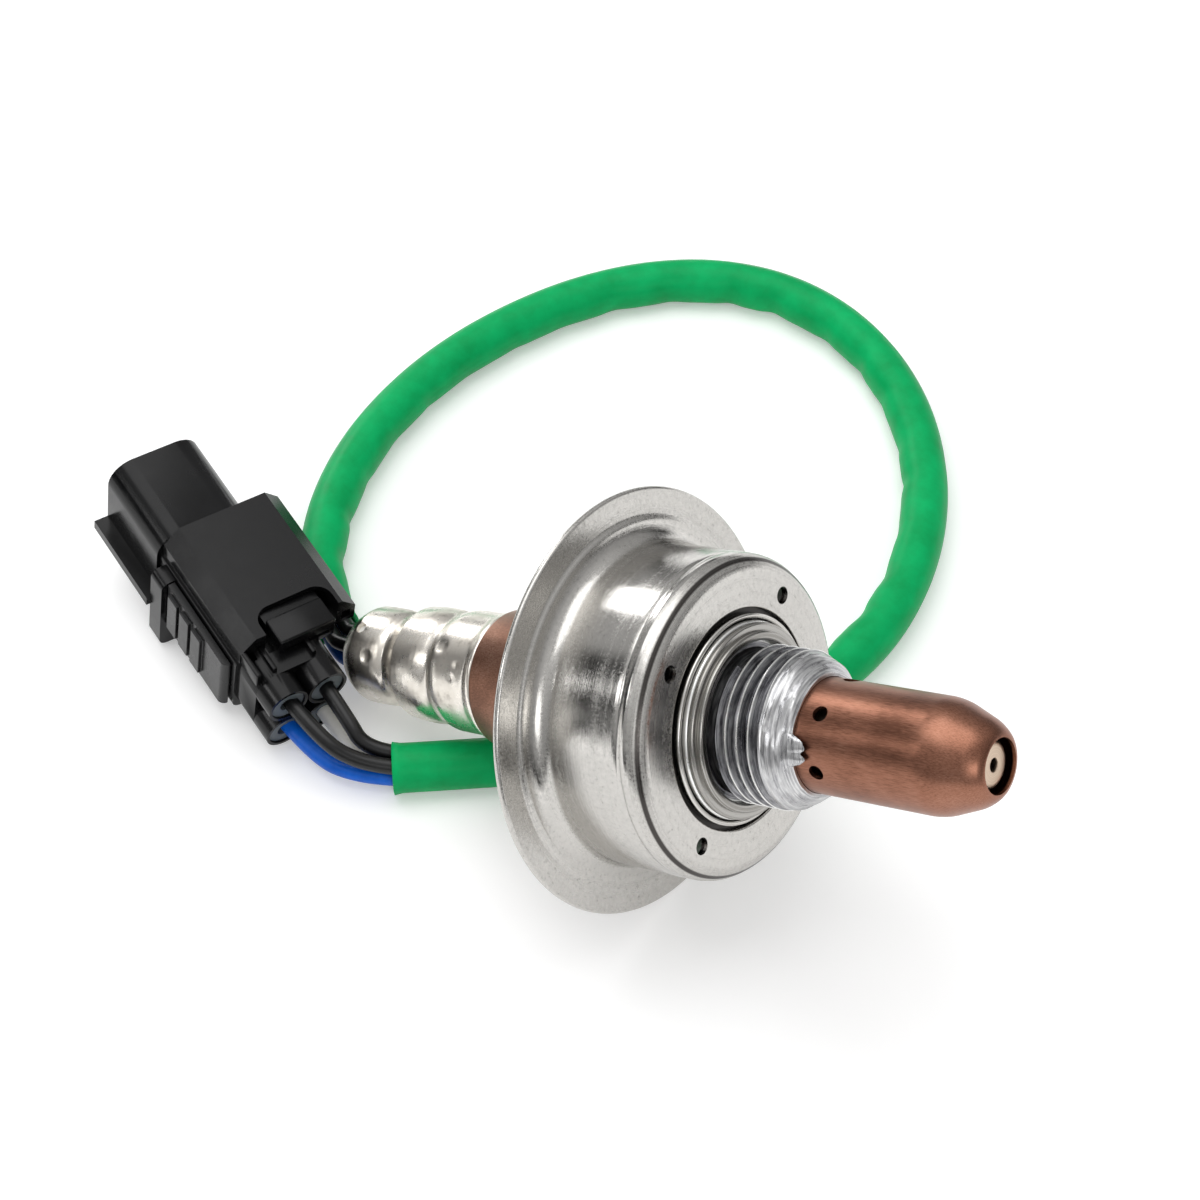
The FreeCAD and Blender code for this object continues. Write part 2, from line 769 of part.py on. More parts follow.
def lower_insulator():
    return slotted("lower_insulator", plain_disc("talc_front", "tube_seat", "lower_insulator_radius"),
                   "talc_front", "tube_seat")


def talc_ring():
    return slotted("talc_ring", plain_disc("talc_back", "talc_front", "talc_radius"),
                   "talc_back", "talc_front")


def upper_insulator():
    return slotted("upper_insulator", [
        ("upper_end", "0"),
        ("upper_end", "upper_neck_radius"),
        ("upper_back", "upper_neck_radius"),
        ("upper_back", "talc_radius"),
        ("talc_back", "talc_radius"),
        ("talc_back", "0"),
    ], "upper_end", "talc_back")


def contact_holder():
    body = new_body("contact_holder")
    turn(body, plain_disc("holder_back", "holder_front", "holder_radius"))
    room = [
        ("- half_element_width - slot_clearance", "- contact_outer - slot_clearance"),
        ("half_element_width + slot_clearance", "- contact_outer - slot_clearance"),
        ("half_element_width + slot_clearance", "contact_outer + slot_clearance"),
        ("- half_element_width - slot_clearance", "contact_outer + slot_clearance"),
    ]
    pocket(body, draw(body, "YZ_Plane", room, "holder_back - 1"), "holder_length + 2", True)
    return finish(body, SENSOR)


def contact_springs():
    """Four bowed strips, two on each face of the element."""
    strip = new_body("contact_spring_form")
    sketch = draw(strip, "XZ_Plane", [
        ("holder_back", "contact_outer - contact_gauge"),
        ("contact_middle", "contact_touch"),
        ("holder_front", "contact_outer - contact_gauge"),
        ("holder_front", "contact_outer"),
        ("contact_middle", "contact_touch + contact_gauge"),
        ("holder_back", "contact_outer"),
    ])
    pad(strip, sketch, "contact_width")
    lane, width = number("contact_lane"), number("contact_width")
    copies = []
    for side in (-1, 1):
        one = strip.Shape.copy()
        one.translate(FreeCAD.Vector(0, side * lane + width / 2, 0))
        copies.append(one)
        copies.append(one.rotated(FreeCAD.Vector(), FreeCAD.Vector(1, 0, 0), 180))
    group = doc.addObject("Part::Feature", "contact_springs")
    group.Shape = Part.makeCompound(copies)
    return finish(group, SENSOR)


def four_places(spacing):
    return [(y * spacing, z * spacing) for y in (-1, 1) for z in (-1, 1)]


def along_x(radius, start, length, y, z):
    return Part.makeCylinder(radius, length, FreeCAD.Vector(start, y, z), FreeCAD.Vector(1, 0, 0))


def crimp_terminals():
    barrels = []
    start, length = number("crimp_back"), number("crimp_length")
    for y, z in four_places(number("lead_spacing")):
        barrel = along_x(number("crimp_radius"), start, length, y, z)
        bore = along_x(number("lead_hole_radius"), start, number("lead_start") - start, y, z)
        barrels.append(barrel.cut(bore))
    group = doc.addObject("Part::Feature", "crimp_terminals")
    group.Shape = Part.makeCompound(barrels)
    return finish(group, SENSOR)


def rear_shell():
    body = new_body("rear_shell")
    turn(body, [
        ("shell_front", "shell_inner_radius"),
        ("shell_front", "shell_radius"),
        ("shell_cone_front", "shell_radius"),
        ("shell_shoulder", "shell_rear_radius"),
        ("shell_shoulder", "shell_neck_radius"),
        ("shell_end", "shell_neck_radius"),
        ("shell_end", "shell_neck_radius - shell_wall"),
        ("shell_shoulder + shell_wall", "shell_neck_radius - shell_wall"),
        ("shell_shoulder + shell_wall", "shell_rear_radius - shell_wall"),
        ("shell_cone_front", "shell_inner_radius"),
    ])
    return finish(body, SENSOR)


def crimped_sleeve():
    body = new_body("crimped_sleeve")
    turn(body, [
        ("lip_front", "sleeve_neck_clear"),
        ("lip_front", "lip_radius"),
        ("lip_back", "lip_radius"),
        ("barrel_a_front", "barrel_a_radius"),
        ("barrel_a_back", "barrel_a_radius"),
        ("groove_a_middle", "groove_a_radius"),
        ("barrel_b_front", "barrel_b_radius"),
        ("barrel_b_back", "barrel_b_radius", "barrel_b_bulge", 1),
        ("groove_b_front", "groove_b_radius"),
        ("groove_b_back", "groove_b_radius"),
        ("barrel_c_front", "barrel_c_radius"),
        ("barrel_c_back", "barrel_c_radius"),
        ("tail", "tail_round_radius", "tail_round", 1),
        ("tail", "tail_opening_radius"),
        ("tail + sleeve_wall", "tail_opening_radius"),
        ("tail + sleeve_wall", "tail_round_radius"),
        ("barrel_c_back", "barrel_c_radius - sleeve_wall", "inner_round", -1),
        ("barrel_c_front", "barrel_c_radius - sleeve_wall"),
        ("groove_b_back", "groove_b_radius - sleeve_wall"),
        ("groove_b_front", "groove_b_radius - sleeve_wall"),
        ("barrel_b_back", "barrel_b_radius - sleeve_wall"),
        ("barrel_b_front", "barrel_b_radius - sleeve_wall"),
        ("groove_a_middle", "groove_a_radius - sleeve_wall"),
        ("barrel_a_back", "sleeve_neck_clear"),
    ])
    hole = draw_circle(body, "XY_Plane", "air_hole_x", "0", "air_hole_radius", "0",
                       FreeCAD.Rotation(FreeCAD.Vector(1, 0, 0), number("air_hole_turn")))
    around(body, pocket(body, hole, "barrel_c_radius + 1", True), "air_hole_count")
    return finish(body, SENSOR)


def wire_grommet():
    body = new_body("wire_grommet")
    turn(body, [
        ("grommet_end", "0"),
        ("grommet_end", "nub_radius"),
        ("grommet_back", "nub_radius"),
        ("grommet_back", "grommet_radius"),
        ("groove_b_front", "grommet_radius"),
        ("barrel_b_back", "grommet_collar_radius"),
        ("barrel_b_front", "grommet_collar_radius"),
        ("barrel_b_front", "0"),
    ])
    hole = draw_circle(body, "YZ_Plane", "lead_spacing", "lead_spacing", "lead_hole_radius",
                       "grommet_end - 1")
    around(body, pocket(body, hole, "barrel_b_front - grommet_end + 2", True), "lead_count")
    return finish(body, SENSOR)


# Leads and sleeve
def rounded_path(points):
    """Straight runs joined by tangent arcs, each as large as the two runs that meet there allow."""
    edges, start, radii = [], points[0], []
    for before, corner, after in zip(points, points[1:], points[2:]):
        into, out = (corner - before), (after - corner)
        shorter = min(into.Length, out.Length)
        into.normalize()
        out.normalize()
        turned = into.getAngle(out)
        tangent = ARC_SHARE * shorter
        radius = tangent / math.tan(turned / 2)
        radii.append(radius)
        enter, leave = corner - into * tangent, corner + out * tangent
        middle = (enter + leave) * 0.5
        towards = (middle - corner).normalize()
        rise = radius / math.cos(turned / 2) - radius
        edges.append(Part.LineSegment(start, enter).toShape())
        edges.append(Part.Arc(enter, corner + towards * rise, leave).toShape())
        start = leave
    edges.append(Part.LineSegment(start, points[-1]).toShape())
    return Part.Wire(edges), radii


def swept(path, radius):
    first = path.Edges[0]
    direction = first.tangentAt(first.FirstParameter)
    circle = Part.Circle(path.Vertexes[0].Point, direction, radius)
    return path.makePipeShell([Part.Wire(circle.toShape())], True, False)


def tube(label, points, radius, bore=0.0):
    """A plain tube along a route, checked against its section times its length."""
    path, radii = rounded_path(points)
    solid = swept(path, radius)
    area = math.pi * (radius ** 2 - bore ** 2)
    if bore:
        solid = solid.cut(swept(path, bore))
    share = solid.Volume / (area * path.Length)
    print("%s: length %.1f mm, smallest radius %.1f mm, volume share %.4f"
          % (label, path.Length, min(radii), share))
    print("  radii", " ".join("%.0f" % r for r in radii))
    if abs(share - 1) > 0.01:
        raise RuntimeError("the tube %s does not have its volume" % label)
    piece = doc.addObject("Part::Feature", label)
    piece.Shape = solid
    EXPORTS.append(piece)
    return piece


def floor_point(place, height):
    return FreeCAD.Vector(place[0], place[1], height)


def cover_sleeve():
    height = number("cover_tube_radius")
    points = [floor_point(place, height) for place in SLEEVE_ROUTE]
    return tube("cover_sleeve", points, number("cover_tube_radius"), number("cover_tube_bore"))


def mouth(first, second):
    """An end of the sleeve: its centre, the way into it, and the sideways direction."""
    height = number("cover_tube_radius")
    centre = floor_point(first, height)
    inward = (floor_point(second, height) - centre).normalize()
    sideways = FreeCAD.Vector(-inward.y, inward.x, 0)
    if sideways.y < 0:
        sideways = sideways * -1
    return centre, inward, sideways


def bundle_points(ends, outward, grip, side, level):
    """The two points of a lead at a mouth of the sleeve: just outside it and inside it."""
    centre, inward, sideways = ends
    offset = sideways * (side * number("bundle_spacing"))
    offset += FreeCAD.Vector(0, 0, level * number("bundle_spacing"))
    return [centre - inward * number(outward) + offset, centre + inward * number(grip) + offset]


def tail_lead(colour, side, level):
    """A lead from its crimp through the grommet and into the sleeve."""
    across, up = side * number("lead_spacing"), level * number("lead_spacing")
    turn_x = number("tail") - number("tail_lead_out")
    points = [SENSOR.multVec(FreeCAD.Vector(x, across, up)) for x in (number("lead_start"), turn_x)]
    ends = mouth(SLEEVE_ROUTE[0], SLEEVE_ROUTE[1])
    points += bundle_points(ends, "tail_turn_gap", "tail_grip", side, level)
    return tube("tail_lead_" + colour, points, number("lead_radius"))


def plug_lead(colour, side, level):
    """A lead from its crimp through the seal and into the other end of the sleeve."""
    across, up = side * number("half_pitch"), level * number("half_pitch")
    stations = (number("plug_lead_start"), number("plug_lead_out"))
    points = [CONNECTOR.multVec(FreeCAD.Vector(x, across, up)) for x in stations]
    ends = mouth(SLEEVE_ROUTE[-1], SLEEVE_ROUTE[-2])
    points += bundle_points(ends, "plug_turn_gap", "plug_grip", side, level)
    return tube("plug_lead_" + colour, points, number("lead_radius"))


# Connector
def rounded_rectangle(left, right, low, high, round_off):
    return [
        (left + " + " + round_off, low, round_off, 1),
        (right + " - " + round_off, low),
        (right, low + " + " + round_off, round_off, 1),
        (right, high + " - " + round_off),
        (right + " - " + round_off, high, round_off, 1),
        (left + " + " + round_off, high),
        (left, high + " - " + round_off, round_off, 1),
        (left, low + " + " + round_off),
    ]


def box_outline(left, right, low, high):
    return [(left, low), (right, low), (right, high), (left, high)]


def connector_housing():
    body = new_body("connector_housing")
    socket = rounded_rectangle("- socket_half_width", "socket_half_width",
                               "- socket_bottom", "socket_top", "socket_round")
    pad(body, draw(body, "YZ_Plane", socket, "socket_front"), "socket_length")
    trunk = rounded_rectangle("- body_half_width", "body_half_width",
                              "- body_bottom", "body_top", "body_round")
    pad(body, draw(body, "YZ_Plane", trunk, "hood_front"), "- exit_length - hood_front")
    exits = rounded_rectangle("- exit_half", "exit_half", "- exit_half", "exit_half", "exit_round")
    pad(body, draw(body, "YZ_Plane", exits, "- exit_length"), "exit_length")
    hood = [
        ("- hood_near", "hood_rail_bottom"),
        ("hood_far", "hood_rail_bottom"),
        ("hood_far", "hood_top - hood_chamfer"),
        ("hood_far - hood_chamfer", "hood_top"),
        ("- hood_near + hood_chamfer", "hood_top"),
        ("- hood_near", "hood_top - hood_chamfer"),
    ]
    pad(body, draw(body, "YZ_Plane", hood, "hood_front"), "hood_length")
    connector_feet(body)
    connector_latch(body)
    connector_cavities(body)
    return finish(body, CONNECTOR)


def connector_feet(body):
    """The two bracket feet, and the lug along the near side of the socket."""
    for left, drop in (("- foot_reach", "near_foot_drop"),
                       ("foot_reach - foot_width", "far_foot_drop")):
        outline = rounded_rectangle(left, left + " + foot_width", "- " + drop, "foot_top",
                                    "foot_round")
        pad(body, draw(body, "YZ_Plane", outline, "foot_front"), "foot_thickness")
    lug = box_outline("- lug_reach", "- socket_half_width + socket_wall",
                      "- lug_top - lug_thickness", "- lug_top")
    pad(body, draw(body, "YZ_Plane", lug, "socket_front"), "foot_front - socket_front")


def connector_latch(body):
    """The room under the hood, its arched mouth, the latch lever and the slots in the rails."""
    room = box_outline("room_near", "room_far", "body_top", "room_top")
    pocket(body, draw(body, "YZ_Plane", room, "hood_back + 1"), "hood_room_depth + 1")
    notch = [
        ("hood_back + 1", "room_near"),
        ("hood_back + 1", "room_far"),
        ("notch_front + hood_notch_round", "room_far"),
        ("notch_front", "room_far - hood_notch_round", "hood_notch_round", 1),
        ("notch_front", "room_near + hood_notch_round"),
        ("notch_front + hood_notch_round", "room_near", "hood_notch_round", 1),
    ]
    pocket(body, draw(body, "XY_Plane", notch, "hood_top + 1"), "hood_plate + 1")
    lever = box_outline("- latch_near", "latch_far", "latch_bottom", "latch_top")
    pad(body, draw(body, "YZ_Plane", lever, "room_front - latch_root"),
        "latch_end - room_front + latch_root")
    slot = box_outline("- latch_near + latch_slot_margin", "latch_far - latch_slot_margin",
                       "latch_bottom + latch_slot_rise",
                       "latch_bottom + latch_slot_rise + latch_slot_height")
    pocket(body, draw(body, "YZ_Plane", slot, "latch_end + 1"), "latch_slot_depth + 1")
    for left in ("- hood_near + rail_slot_inset", "room_far + rail_slot_inset"):
        hole = box_outline(left, left + " + rail_slot_width",
                           "hood_rail_bottom + rail_slot_inset",
                           "hood_rail_bottom + rail_slot_inset + rail_slot_height")
        pocket(body, draw(body, "YZ_Plane", hole, "hood_back + 1"), "rail_slot_depth + 1")


def connector_cavities(body):
    """The socket, and for each of the four ways a seal bore, a terminal bore and a pin hole."""
    inner = rounded_rectangle("- socket_half_width + socket_wall", "socket_half_width - socket_wall",
                              "- socket_bottom + socket_wall", "socket_top - socket_wall",
                              "socket_inner_round")
    pocket(body, draw(body, "YZ_Plane", inner, "socket_front - 1"), "socket_depth + 1", True)
    for radius, length in (("seal_bore_radius", "1 + seal_setback + seal_length"),
                           ("terminal_bore_radius", "1 - pin_back")):
        hole = draw_circle(body, "YZ_Plane", "half_pitch", "half_pitch", radius, "1")
        around(body, pocket(body, hole, length), "lead_count")
    pin_hole = box_outline("half_pitch - pin_half - pin_clearance",
                           "half_pitch + pin_half + pin_clearance",
                           "half_pitch - pin_half - pin_clearance",
                           "half_pitch + pin_half + pin_clearance")
    hole = draw(body, "YZ_Plane", pin_hole, "socket_floor - 1")
    around(body, pocket(body, hole, "pin_back - socket_floor + 2", True), "lead_count")


def side_retainer():
    """The ribbed block that slides into the near side and locks the terminals."""
    body = new_body("side_retainer")
    plan = [
        ("retainer_front", "- body_half_width - fit_clearance"),
        ("retainer_front", "- retainer_reach"),
        ("retainer_back - retainer_round", "- retainer_reach"),
        ("retainer_back", "- retainer_reach + retainer_round", "retainer_round", 1),
        ("retainer_back", "- body_half_width - fit_clearance"),
    ]
    pad(body, draw(body, "XY_Plane", plan, "- retainer_bottom"), "retainer_bottom + retainer_top")
    rib = box_outline("rib_start", "rib_start + rib_width",
                      "- retainer_reach - rib_height", "- retainer_reach + rib_height")
    sketch = draw(body, "XY_Plane", rib, "- retainer_bottom + rib_margin")
    feature = pad(body, sketch, "retainer_bottom + retainer_top - rib_margin - rib_margin")
    pattern = body.newObject("PartDesign::LinearPattern", "Ribs")
    pattern.Originals = [feature]
    pattern.Direction = (sketch, ["H_Axis"])
    pattern.setExpression("Length", bound("rib_span"))
    pattern.setExpression("Occurrences", bound("rib_count"))
    body.Tip = pattern
    doc.recompute()
    return finish(body, CONNECTOR)


def wire_seals():
    seals = []
    start, length = number("seal_front"), number("seal_length")
    for y, z in four_places(number("half_pitch")):
        seal = along_x(number("seal_radius"), start, length, y, z)
        bore = along_x(number("lead_hole_radius"), start - 1, length + 2, y, z)
        seals.append(seal.cut(bore))
    group = doc.addObject("Part::Feature", "wire_seals")
    group.Shape = Part.makeCompound(seals)
    return finish(group, CONNECTOR)


def terminal_pins():
    """Four square pins, each in one piece with the crimp barrel that grips its lead."""
    pins = []
    half, tip = number("pin_half"), number("pin_tip")
    front, back, end = number("pin_front"), number("pin_back"), number("terminal_back")
    start = number("plug_lead_start")
    for y, z in four_places(number("half_pitch")):
        corner = FreeCAD.Vector(front, y - half, z - half)
        blade = Part.makeBox(back - front, 2 * half, 2 * half, corner)
        tip_edges = [edge for edge in blade.Edges
                     if all(abs(vertex.X - front) < 1e-6 for vertex in edge.Vertexes)]
        blade = blade.makeChamfer(tip, tip_edges)
        barrel = along_x(number("crimp_radius"), back, end - back, y, z)
        bore = along_x(number("lead_hole_radius"), start, end - start + 1, y, z)
        pins.append(blade.fuse(barrel.cut(bore)))
    group = doc.addObject("Part::Feature", "terminal_pins")
    group.Shape = Part.makeCompound(pins)
    return finish(group, CONNECTOR)


heat_shield_cup()
threaded_housing()
ring("shield_retaining_ring", "seat_front", "seat_front + ring_thickness",
     "ring_inner_radius", "ring_inner_radius + ring_width")
gasket_ring()
outer_protection_tube()
inner_protection_tube()
sensing_element()
lower_insulator()
talc_ring()
upper_insulator()
contact_holder()
contact_springs()
crimp_terminals()
rear_shell()
crimped_sleeve()
ring("vent_filter", "filter_back", "filter_front", "filter_outer - filter_thickness",
     "filter_outer")
wire_grommet()
cover_sleeve()
for colour, (side, level) in LEADS.items():
    tail_lead(colour, side, level)
    plug_lead(colour, side, level)
connector_housing()
side_retainer()
wire_seals()
terminal_pins()

doc.recompute()
broken = [item.Label for item in doc.Objects
          if "Invalid" in item.State or "Error" in item.State]
for piece in EXPORTS:
    if piece.Shape.isNull() or not piece.Shape.isValid():
        broken.append(piece.Label + " (shape)")
if broken:
    raise RuntimeError("not sound: " + ", ".join(broken))
for piece in EXPORTS:
    piece.Shape.exportStep(os.path.join("parts", piece.Label + ".step"))
    print("%-24s %8.1f mm3, %d solids" % (piece.Label, piece.Shape.Volume, len(piece.Shape.Solids)))
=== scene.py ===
# %% [markdown]
# # A heated oxygen sensor, dressed for its portrait
#
# The object is an exhaust oxygen sensor. It lies on the rim of its stamped heat shield and on the
# rounded end of its crimped sleeve. A green sleeve carries its four leads round to a black connector.
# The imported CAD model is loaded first, because it fixes every size and place. Blender then adds what
# CAD leaves out: the screw thread, soft edges, creases, and the look of each metal and plastic.

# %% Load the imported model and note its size
import json
import math

import bmesh
import bpy
from mathutils import Matrix, Vector, kdtree, noise


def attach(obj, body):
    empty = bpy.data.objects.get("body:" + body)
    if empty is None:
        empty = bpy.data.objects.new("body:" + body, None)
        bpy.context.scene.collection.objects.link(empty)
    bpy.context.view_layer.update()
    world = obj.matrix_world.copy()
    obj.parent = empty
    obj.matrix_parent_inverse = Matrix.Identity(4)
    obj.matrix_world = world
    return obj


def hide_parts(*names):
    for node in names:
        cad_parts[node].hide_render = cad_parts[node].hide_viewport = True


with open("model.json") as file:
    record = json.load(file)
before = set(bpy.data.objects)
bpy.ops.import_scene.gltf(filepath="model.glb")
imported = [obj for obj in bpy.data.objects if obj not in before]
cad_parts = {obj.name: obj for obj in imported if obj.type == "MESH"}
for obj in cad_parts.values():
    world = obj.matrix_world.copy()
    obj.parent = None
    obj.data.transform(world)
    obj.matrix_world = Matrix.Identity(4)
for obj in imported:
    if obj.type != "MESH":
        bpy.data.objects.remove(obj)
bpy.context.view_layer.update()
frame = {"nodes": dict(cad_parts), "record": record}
mounts = {mount["name"]: mount for mount in frame["record"]["mounts"]}
MM = 0.001
print("CAD nodes:", len(frame["nodes"]))

# %% [markdown]
# The sensor is a turned product, so almost every piece of it is easiest to draw as an outline of
# (distance along the axis, radius) and to spin. The axis is slanted in the resting pose, and the
# thread's mount in the record says where it is. One matrix then carries every outline into place.

# %% The sensor's own axis
THREAD_MOUNT_X = 22.0
axis_direction = Vector(mounts["mounting_thread"]["axis"]).normalized()
axis_start = Vector(mounts["mounting_thread"]["pos_m"]) - axis_direction * THREAD_MOUNT_X * MM
rest_tilt = math.atan2(axis_direction.z, axis_direction.x)
on_sensor = Matrix.Translation(axis_start) @ Matrix.Rotation(-rest_tilt, 4, "Y") @ Matrix.Scale(MM, 4)
print("axis tilt %.2f degrees" % math.degrees(rest_tilt))

# %% [markdown]
# ## Camera, floor and light
#
# The camera was matched to the photograph from the circles of the shield, of the hole in its face and
# of the tip, with the thread 18 mm wide. It looks down at about fifty degrees through a long lens,
# which keeps the circles from stretching.

# %% Camera
def placed(name, data):
    """A new object of the scene, which shows the given data."""
    item = bpy.data.objects.new(name, data)
    bpy.context.scene.collection.objects.link(item)
    return item


CAMERA_PLACE = (94.49, -156.37, 256.11)
CAMERA_TURN = 33.0
CAMERA_DIP = 49.58
CAMERA_LENS = 77.5

camera_data = bpy.data.cameras.new("portrait_camera")
camera_data.lens = CAMERA_LENS
camera_data.sensor_width = 36.0
camera_data.clip_start = 0.01
camera = placed("portrait_camera", camera_data)
camera.location = Vector(CAMERA_PLACE) * MM
camera.rotation_euler = (math.radians(90 - CAMERA_DIP), 0.0, math.radians(CAMERA_TURN))
bpy.context.scene.camera = camera
bpy.context.scene.view_settings.view_transform = "Standard"


# %% [markdown]
# Colours are written as the hex values that a paint program shows. Shaders work in linear light, so
# one function turns them over. Another adds a shader node, sets it and links it, and two short ones
# stand for the nodes that come up most: a product, and a blend of two colours.

# %% Helpers for materials
def paint(hex_colour):
    """A linear colour from an sRGB hex value such as 'c08a70'."""
    channels = [int(hex_colour[i:i + 2], 16) / 255 for i in (0, 2, 4)]
    linear = [c / 12.92 if c <= 0.04045 else ((c + 0.055) / 1.055) ** 2.4 for c in channels]
    return (*linear, 1.0)


def add(tree, kind, inputs=None, **settings):
    """Adds one node, sets its properties, and fills or links its inputs."""
    node = tree.nodes.new(kind)
    for name, setting in settings.items():
        setattr(node, name, setting)
    for socket, content in (inputs or {}).items():
        if isinstance(content, bpy.types.NodeSocket):
            tree.links.new(content, node.inputs[socket])
        else:
            node.inputs[socket].default_value = content
    return node


def product(tree, first, second):
    return add(tree, "ShaderNodeMath", {0: first, 1: second}, operation="MULTIPLY").outputs[0]


def blend(tree, factor, first, second):
    """The first colour where the factor is 0, and the second where it is 1."""
    return add(tree, "ShaderNodeMix", {"Factor": factor, "A": first, "B": second},
               data_type="RGBA").outputs["Result"]


# %% [markdown]
# The background is a white sweep. The floor is a plain diffuse white, which a little glow for camera
# rays, mirrors and glass lifts to full white where no shadow lies. The glow grows towards the rim,
# where less lamp light falls. It is a table a metre across, with a dim room behind it: polished metal
# looks like metal only when it has dark things to mirror as well as bright ones.

# %% Floor
FLOOR_GLOW = 0.27
FLOOR_NEAR = 0.16
FLOOR_FAR = 0.42
FLOOR_HALF_WIDTH = 0.55


def white_floor():
    material = bpy.data.materials.new("studio_white")
    material.use_nodes = True
    tree = material.node_tree
    tree.nodes.clear()
    path = add(tree, "ShaderNodeLightPath")
    seen = path.outputs["Is Camera Ray"]
    for kind in ("Is Glossy Ray", "Is Transmission Ray"):
        seen = add(tree, "ShaderNodeMath", {0: seen, 1: path.outputs[kind]}, operation="MAXIMUM").outputs[0]
    place = add(tree, "ShaderNodeTexCoord")
    away = add(tree, "ShaderNodeVectorMath", {0: place.outputs["Object"]}, operation="LENGTH")
    level = add(tree, "ShaderNodeMapRange", {"Value": away.outputs["Value"], "From Min": FLOOR_NEAR,
                                             "From Max": FLOOR_FAR, "To Min": FLOOR_GLOW, "To Max": 1.0})
    glow = product(tree, seen, level.outputs[0])
    white = add(tree, "ShaderNodeBsdfDiffuse", {"Color": (0.9, 0.9, 0.9, 1.0)})
    light = add(tree, "ShaderNodeEmission", {"Strength": glow})
    both = add(tree, "ShaderNodeAddShader", {0: white.outputs[0], 1: light.outputs[0]})
    add(tree, "ShaderNodeOutputMaterial", {"Surface": both.outputs[0]})
    return material


floor_mesh = bpy.data.meshes.new("studio_floor")
floor_bm = bmesh.new()
bmesh.ops.create_grid(floor_bm, x_segments=1, y_segments=1, size=FLOOR_HALF_WIDTH)
floor_bm.to_mesh(floor_mesh)
floor_bm.free()
floor_mesh.materials.append(white_floor())
studio_floor = placed("studio_floor", floor_mesh)

# %% World
# The room's grey levels by height. A dark cloth hangs at the left, so that metal mirrors a dark patch.
ROOM_LIGHT = ((0.0, 0.04), (0.06, 0.06), (0.17, 0.40), (0.42, 0.46), (0.8, 0.66))
CLOTH_DIRECTION = (-0.80, -0.46, 0.38)
CLOTH_RIM = 0.93
CLOTH_FULL = 0.975
CLOTH_LEVEL = 0.06

world = bpy.data.worlds.new("studio_room")
bpy.context.scene.world = world
world.use_nodes = True
room = world.node_tree
room.nodes.clear()
place = add(room, "ShaderNodeTexCoord")
height = add(room, "ShaderNodeSeparateXYZ", {"Vector": place.outputs["Generated"]})
ramp = add(room, "ShaderNodeValToRGB", {"Fac": height.outputs["Z"]})
while len(ramp.color_ramp.elements) < len(ROOM_LIGHT):
    ramp.color_ramp.elements.new(0.5)
for element, (position, level) in zip(ramp.color_ramp.elements, ROOM_LIGHT):
    element.position = position
    element.color = (level, level, level, 1.0)
towards_cloth = add(room, "ShaderNodeVectorMath", {0: place.outputs["Generated"], 1: CLOTH_DIRECTION},
                    operation="DOT_PRODUCT").outputs["Value"]
cloth = add(room, "ShaderNodeMapRange", {"Value": towards_cloth, "From Min": CLOTH_RIM,
                                         "From Max": CLOTH_FULL, "To Min": 1.0, "To Max": CLOTH_LEVEL},
            interpolation_type="SMOOTHSTEP")
shaded = add(room, "ShaderNodeVectorMath", {0: ramp.outputs["Color"], "Scale": cloth.outputs[0]},
             operation="SCALE")
rays = add(room, "ShaderNodeLightPath")
light_or_white = blend(room, rays.outputs["Is Camera Ray"], shaded.outputs[0], (1.0, 1.0, 1.0, 1.0))
sky = add(room, "ShaderNodeBackground", {"Color": light_or_white, "Strength": 1.0})
add(room, "ShaderNodeOutputWorld", {"Surface": sky.outputs[0]})


# %% [markdown]
# The key light is a big soft box nearly overhead, which puts the photograph's soft shadows close under
# the object. A narrow box, low behind the left side, draws the bright streak along the cup. A third
# box fills the side that faces the viewer, and a small one at the left glints on slanted edges.

# %% Lamps
def soft_box(name, location, target, width, depth, power):
    lamp = bpy.data.lights.new(name, "AREA")
    lamp.shape = "RECTANGLE"
    lamp.size = width
    lamp.size_y = depth
    lamp.energy = power
    lamp_object = placed(name, lamp)
    lamp_object.location = location
    aim = Vector(target) - Vector(location)
    lamp_object.rotation_euler = aim.to_track_quat("-Z", "Y").to_euler()


LAMPS = {
    "key_box": {"location": (-0.20, 0.08, 0.74), "target": (-0.01, 0.01, 0.0),
                "width": 0.66, "depth": 0.66, "power": 2.45},
    "streak_box": {"location": (-0.56, 0.26, 0.25), "target": (0.0, 0.0, 0.03),
                   "width": 0.16, "depth": 0.30, "power": 0.8},
    "front_box": {"location": (0.42, -0.40, 0.40), "target": (0.0, 0.0, 0.02),
                  "width": 0.30, "depth": 0.22, "power": 0.7},
    "corner_box": {"location": (-0.42, -0.36, 0.35), "target": (-0.05, -0.01, 0.01),
                   "width": 0.14, "depth": 0.14, "power": 0.36},
}
for name, values in LAMPS.items():
    soft_box(name, **values)


# %% [markdown]
# ## Helpers for turned pieces
#
# A lathe leaves a small radius on every corner. Here each corner of an outline is rounded first, by a
# vertex bevel, and the outline is then spun once round. The sharp shoulders stay crisp but still catch
# a thin highlight, as the real ones do.

# %% Spin an outline
def closed_outline(bm, outline):
    """Draws (x, radius, corner round) points as a closed wire and rounds its corners."""
    corners = [bm.verts.new((x, 0.0, radius)) for x, radius, _ in outline]
    for first, second in zip(corners, corners[1:] + corners[:1]):
        bm.edges.new((first, second))
    for corner, (_, _, size) in zip(corners, outline):
        if size:
            bmesh.ops.bevel(bm, geom=[corner], offset=size, offset_type="OFFSET", affect="VERTICES",
                            segments=4, profile=0.5, material=-1)


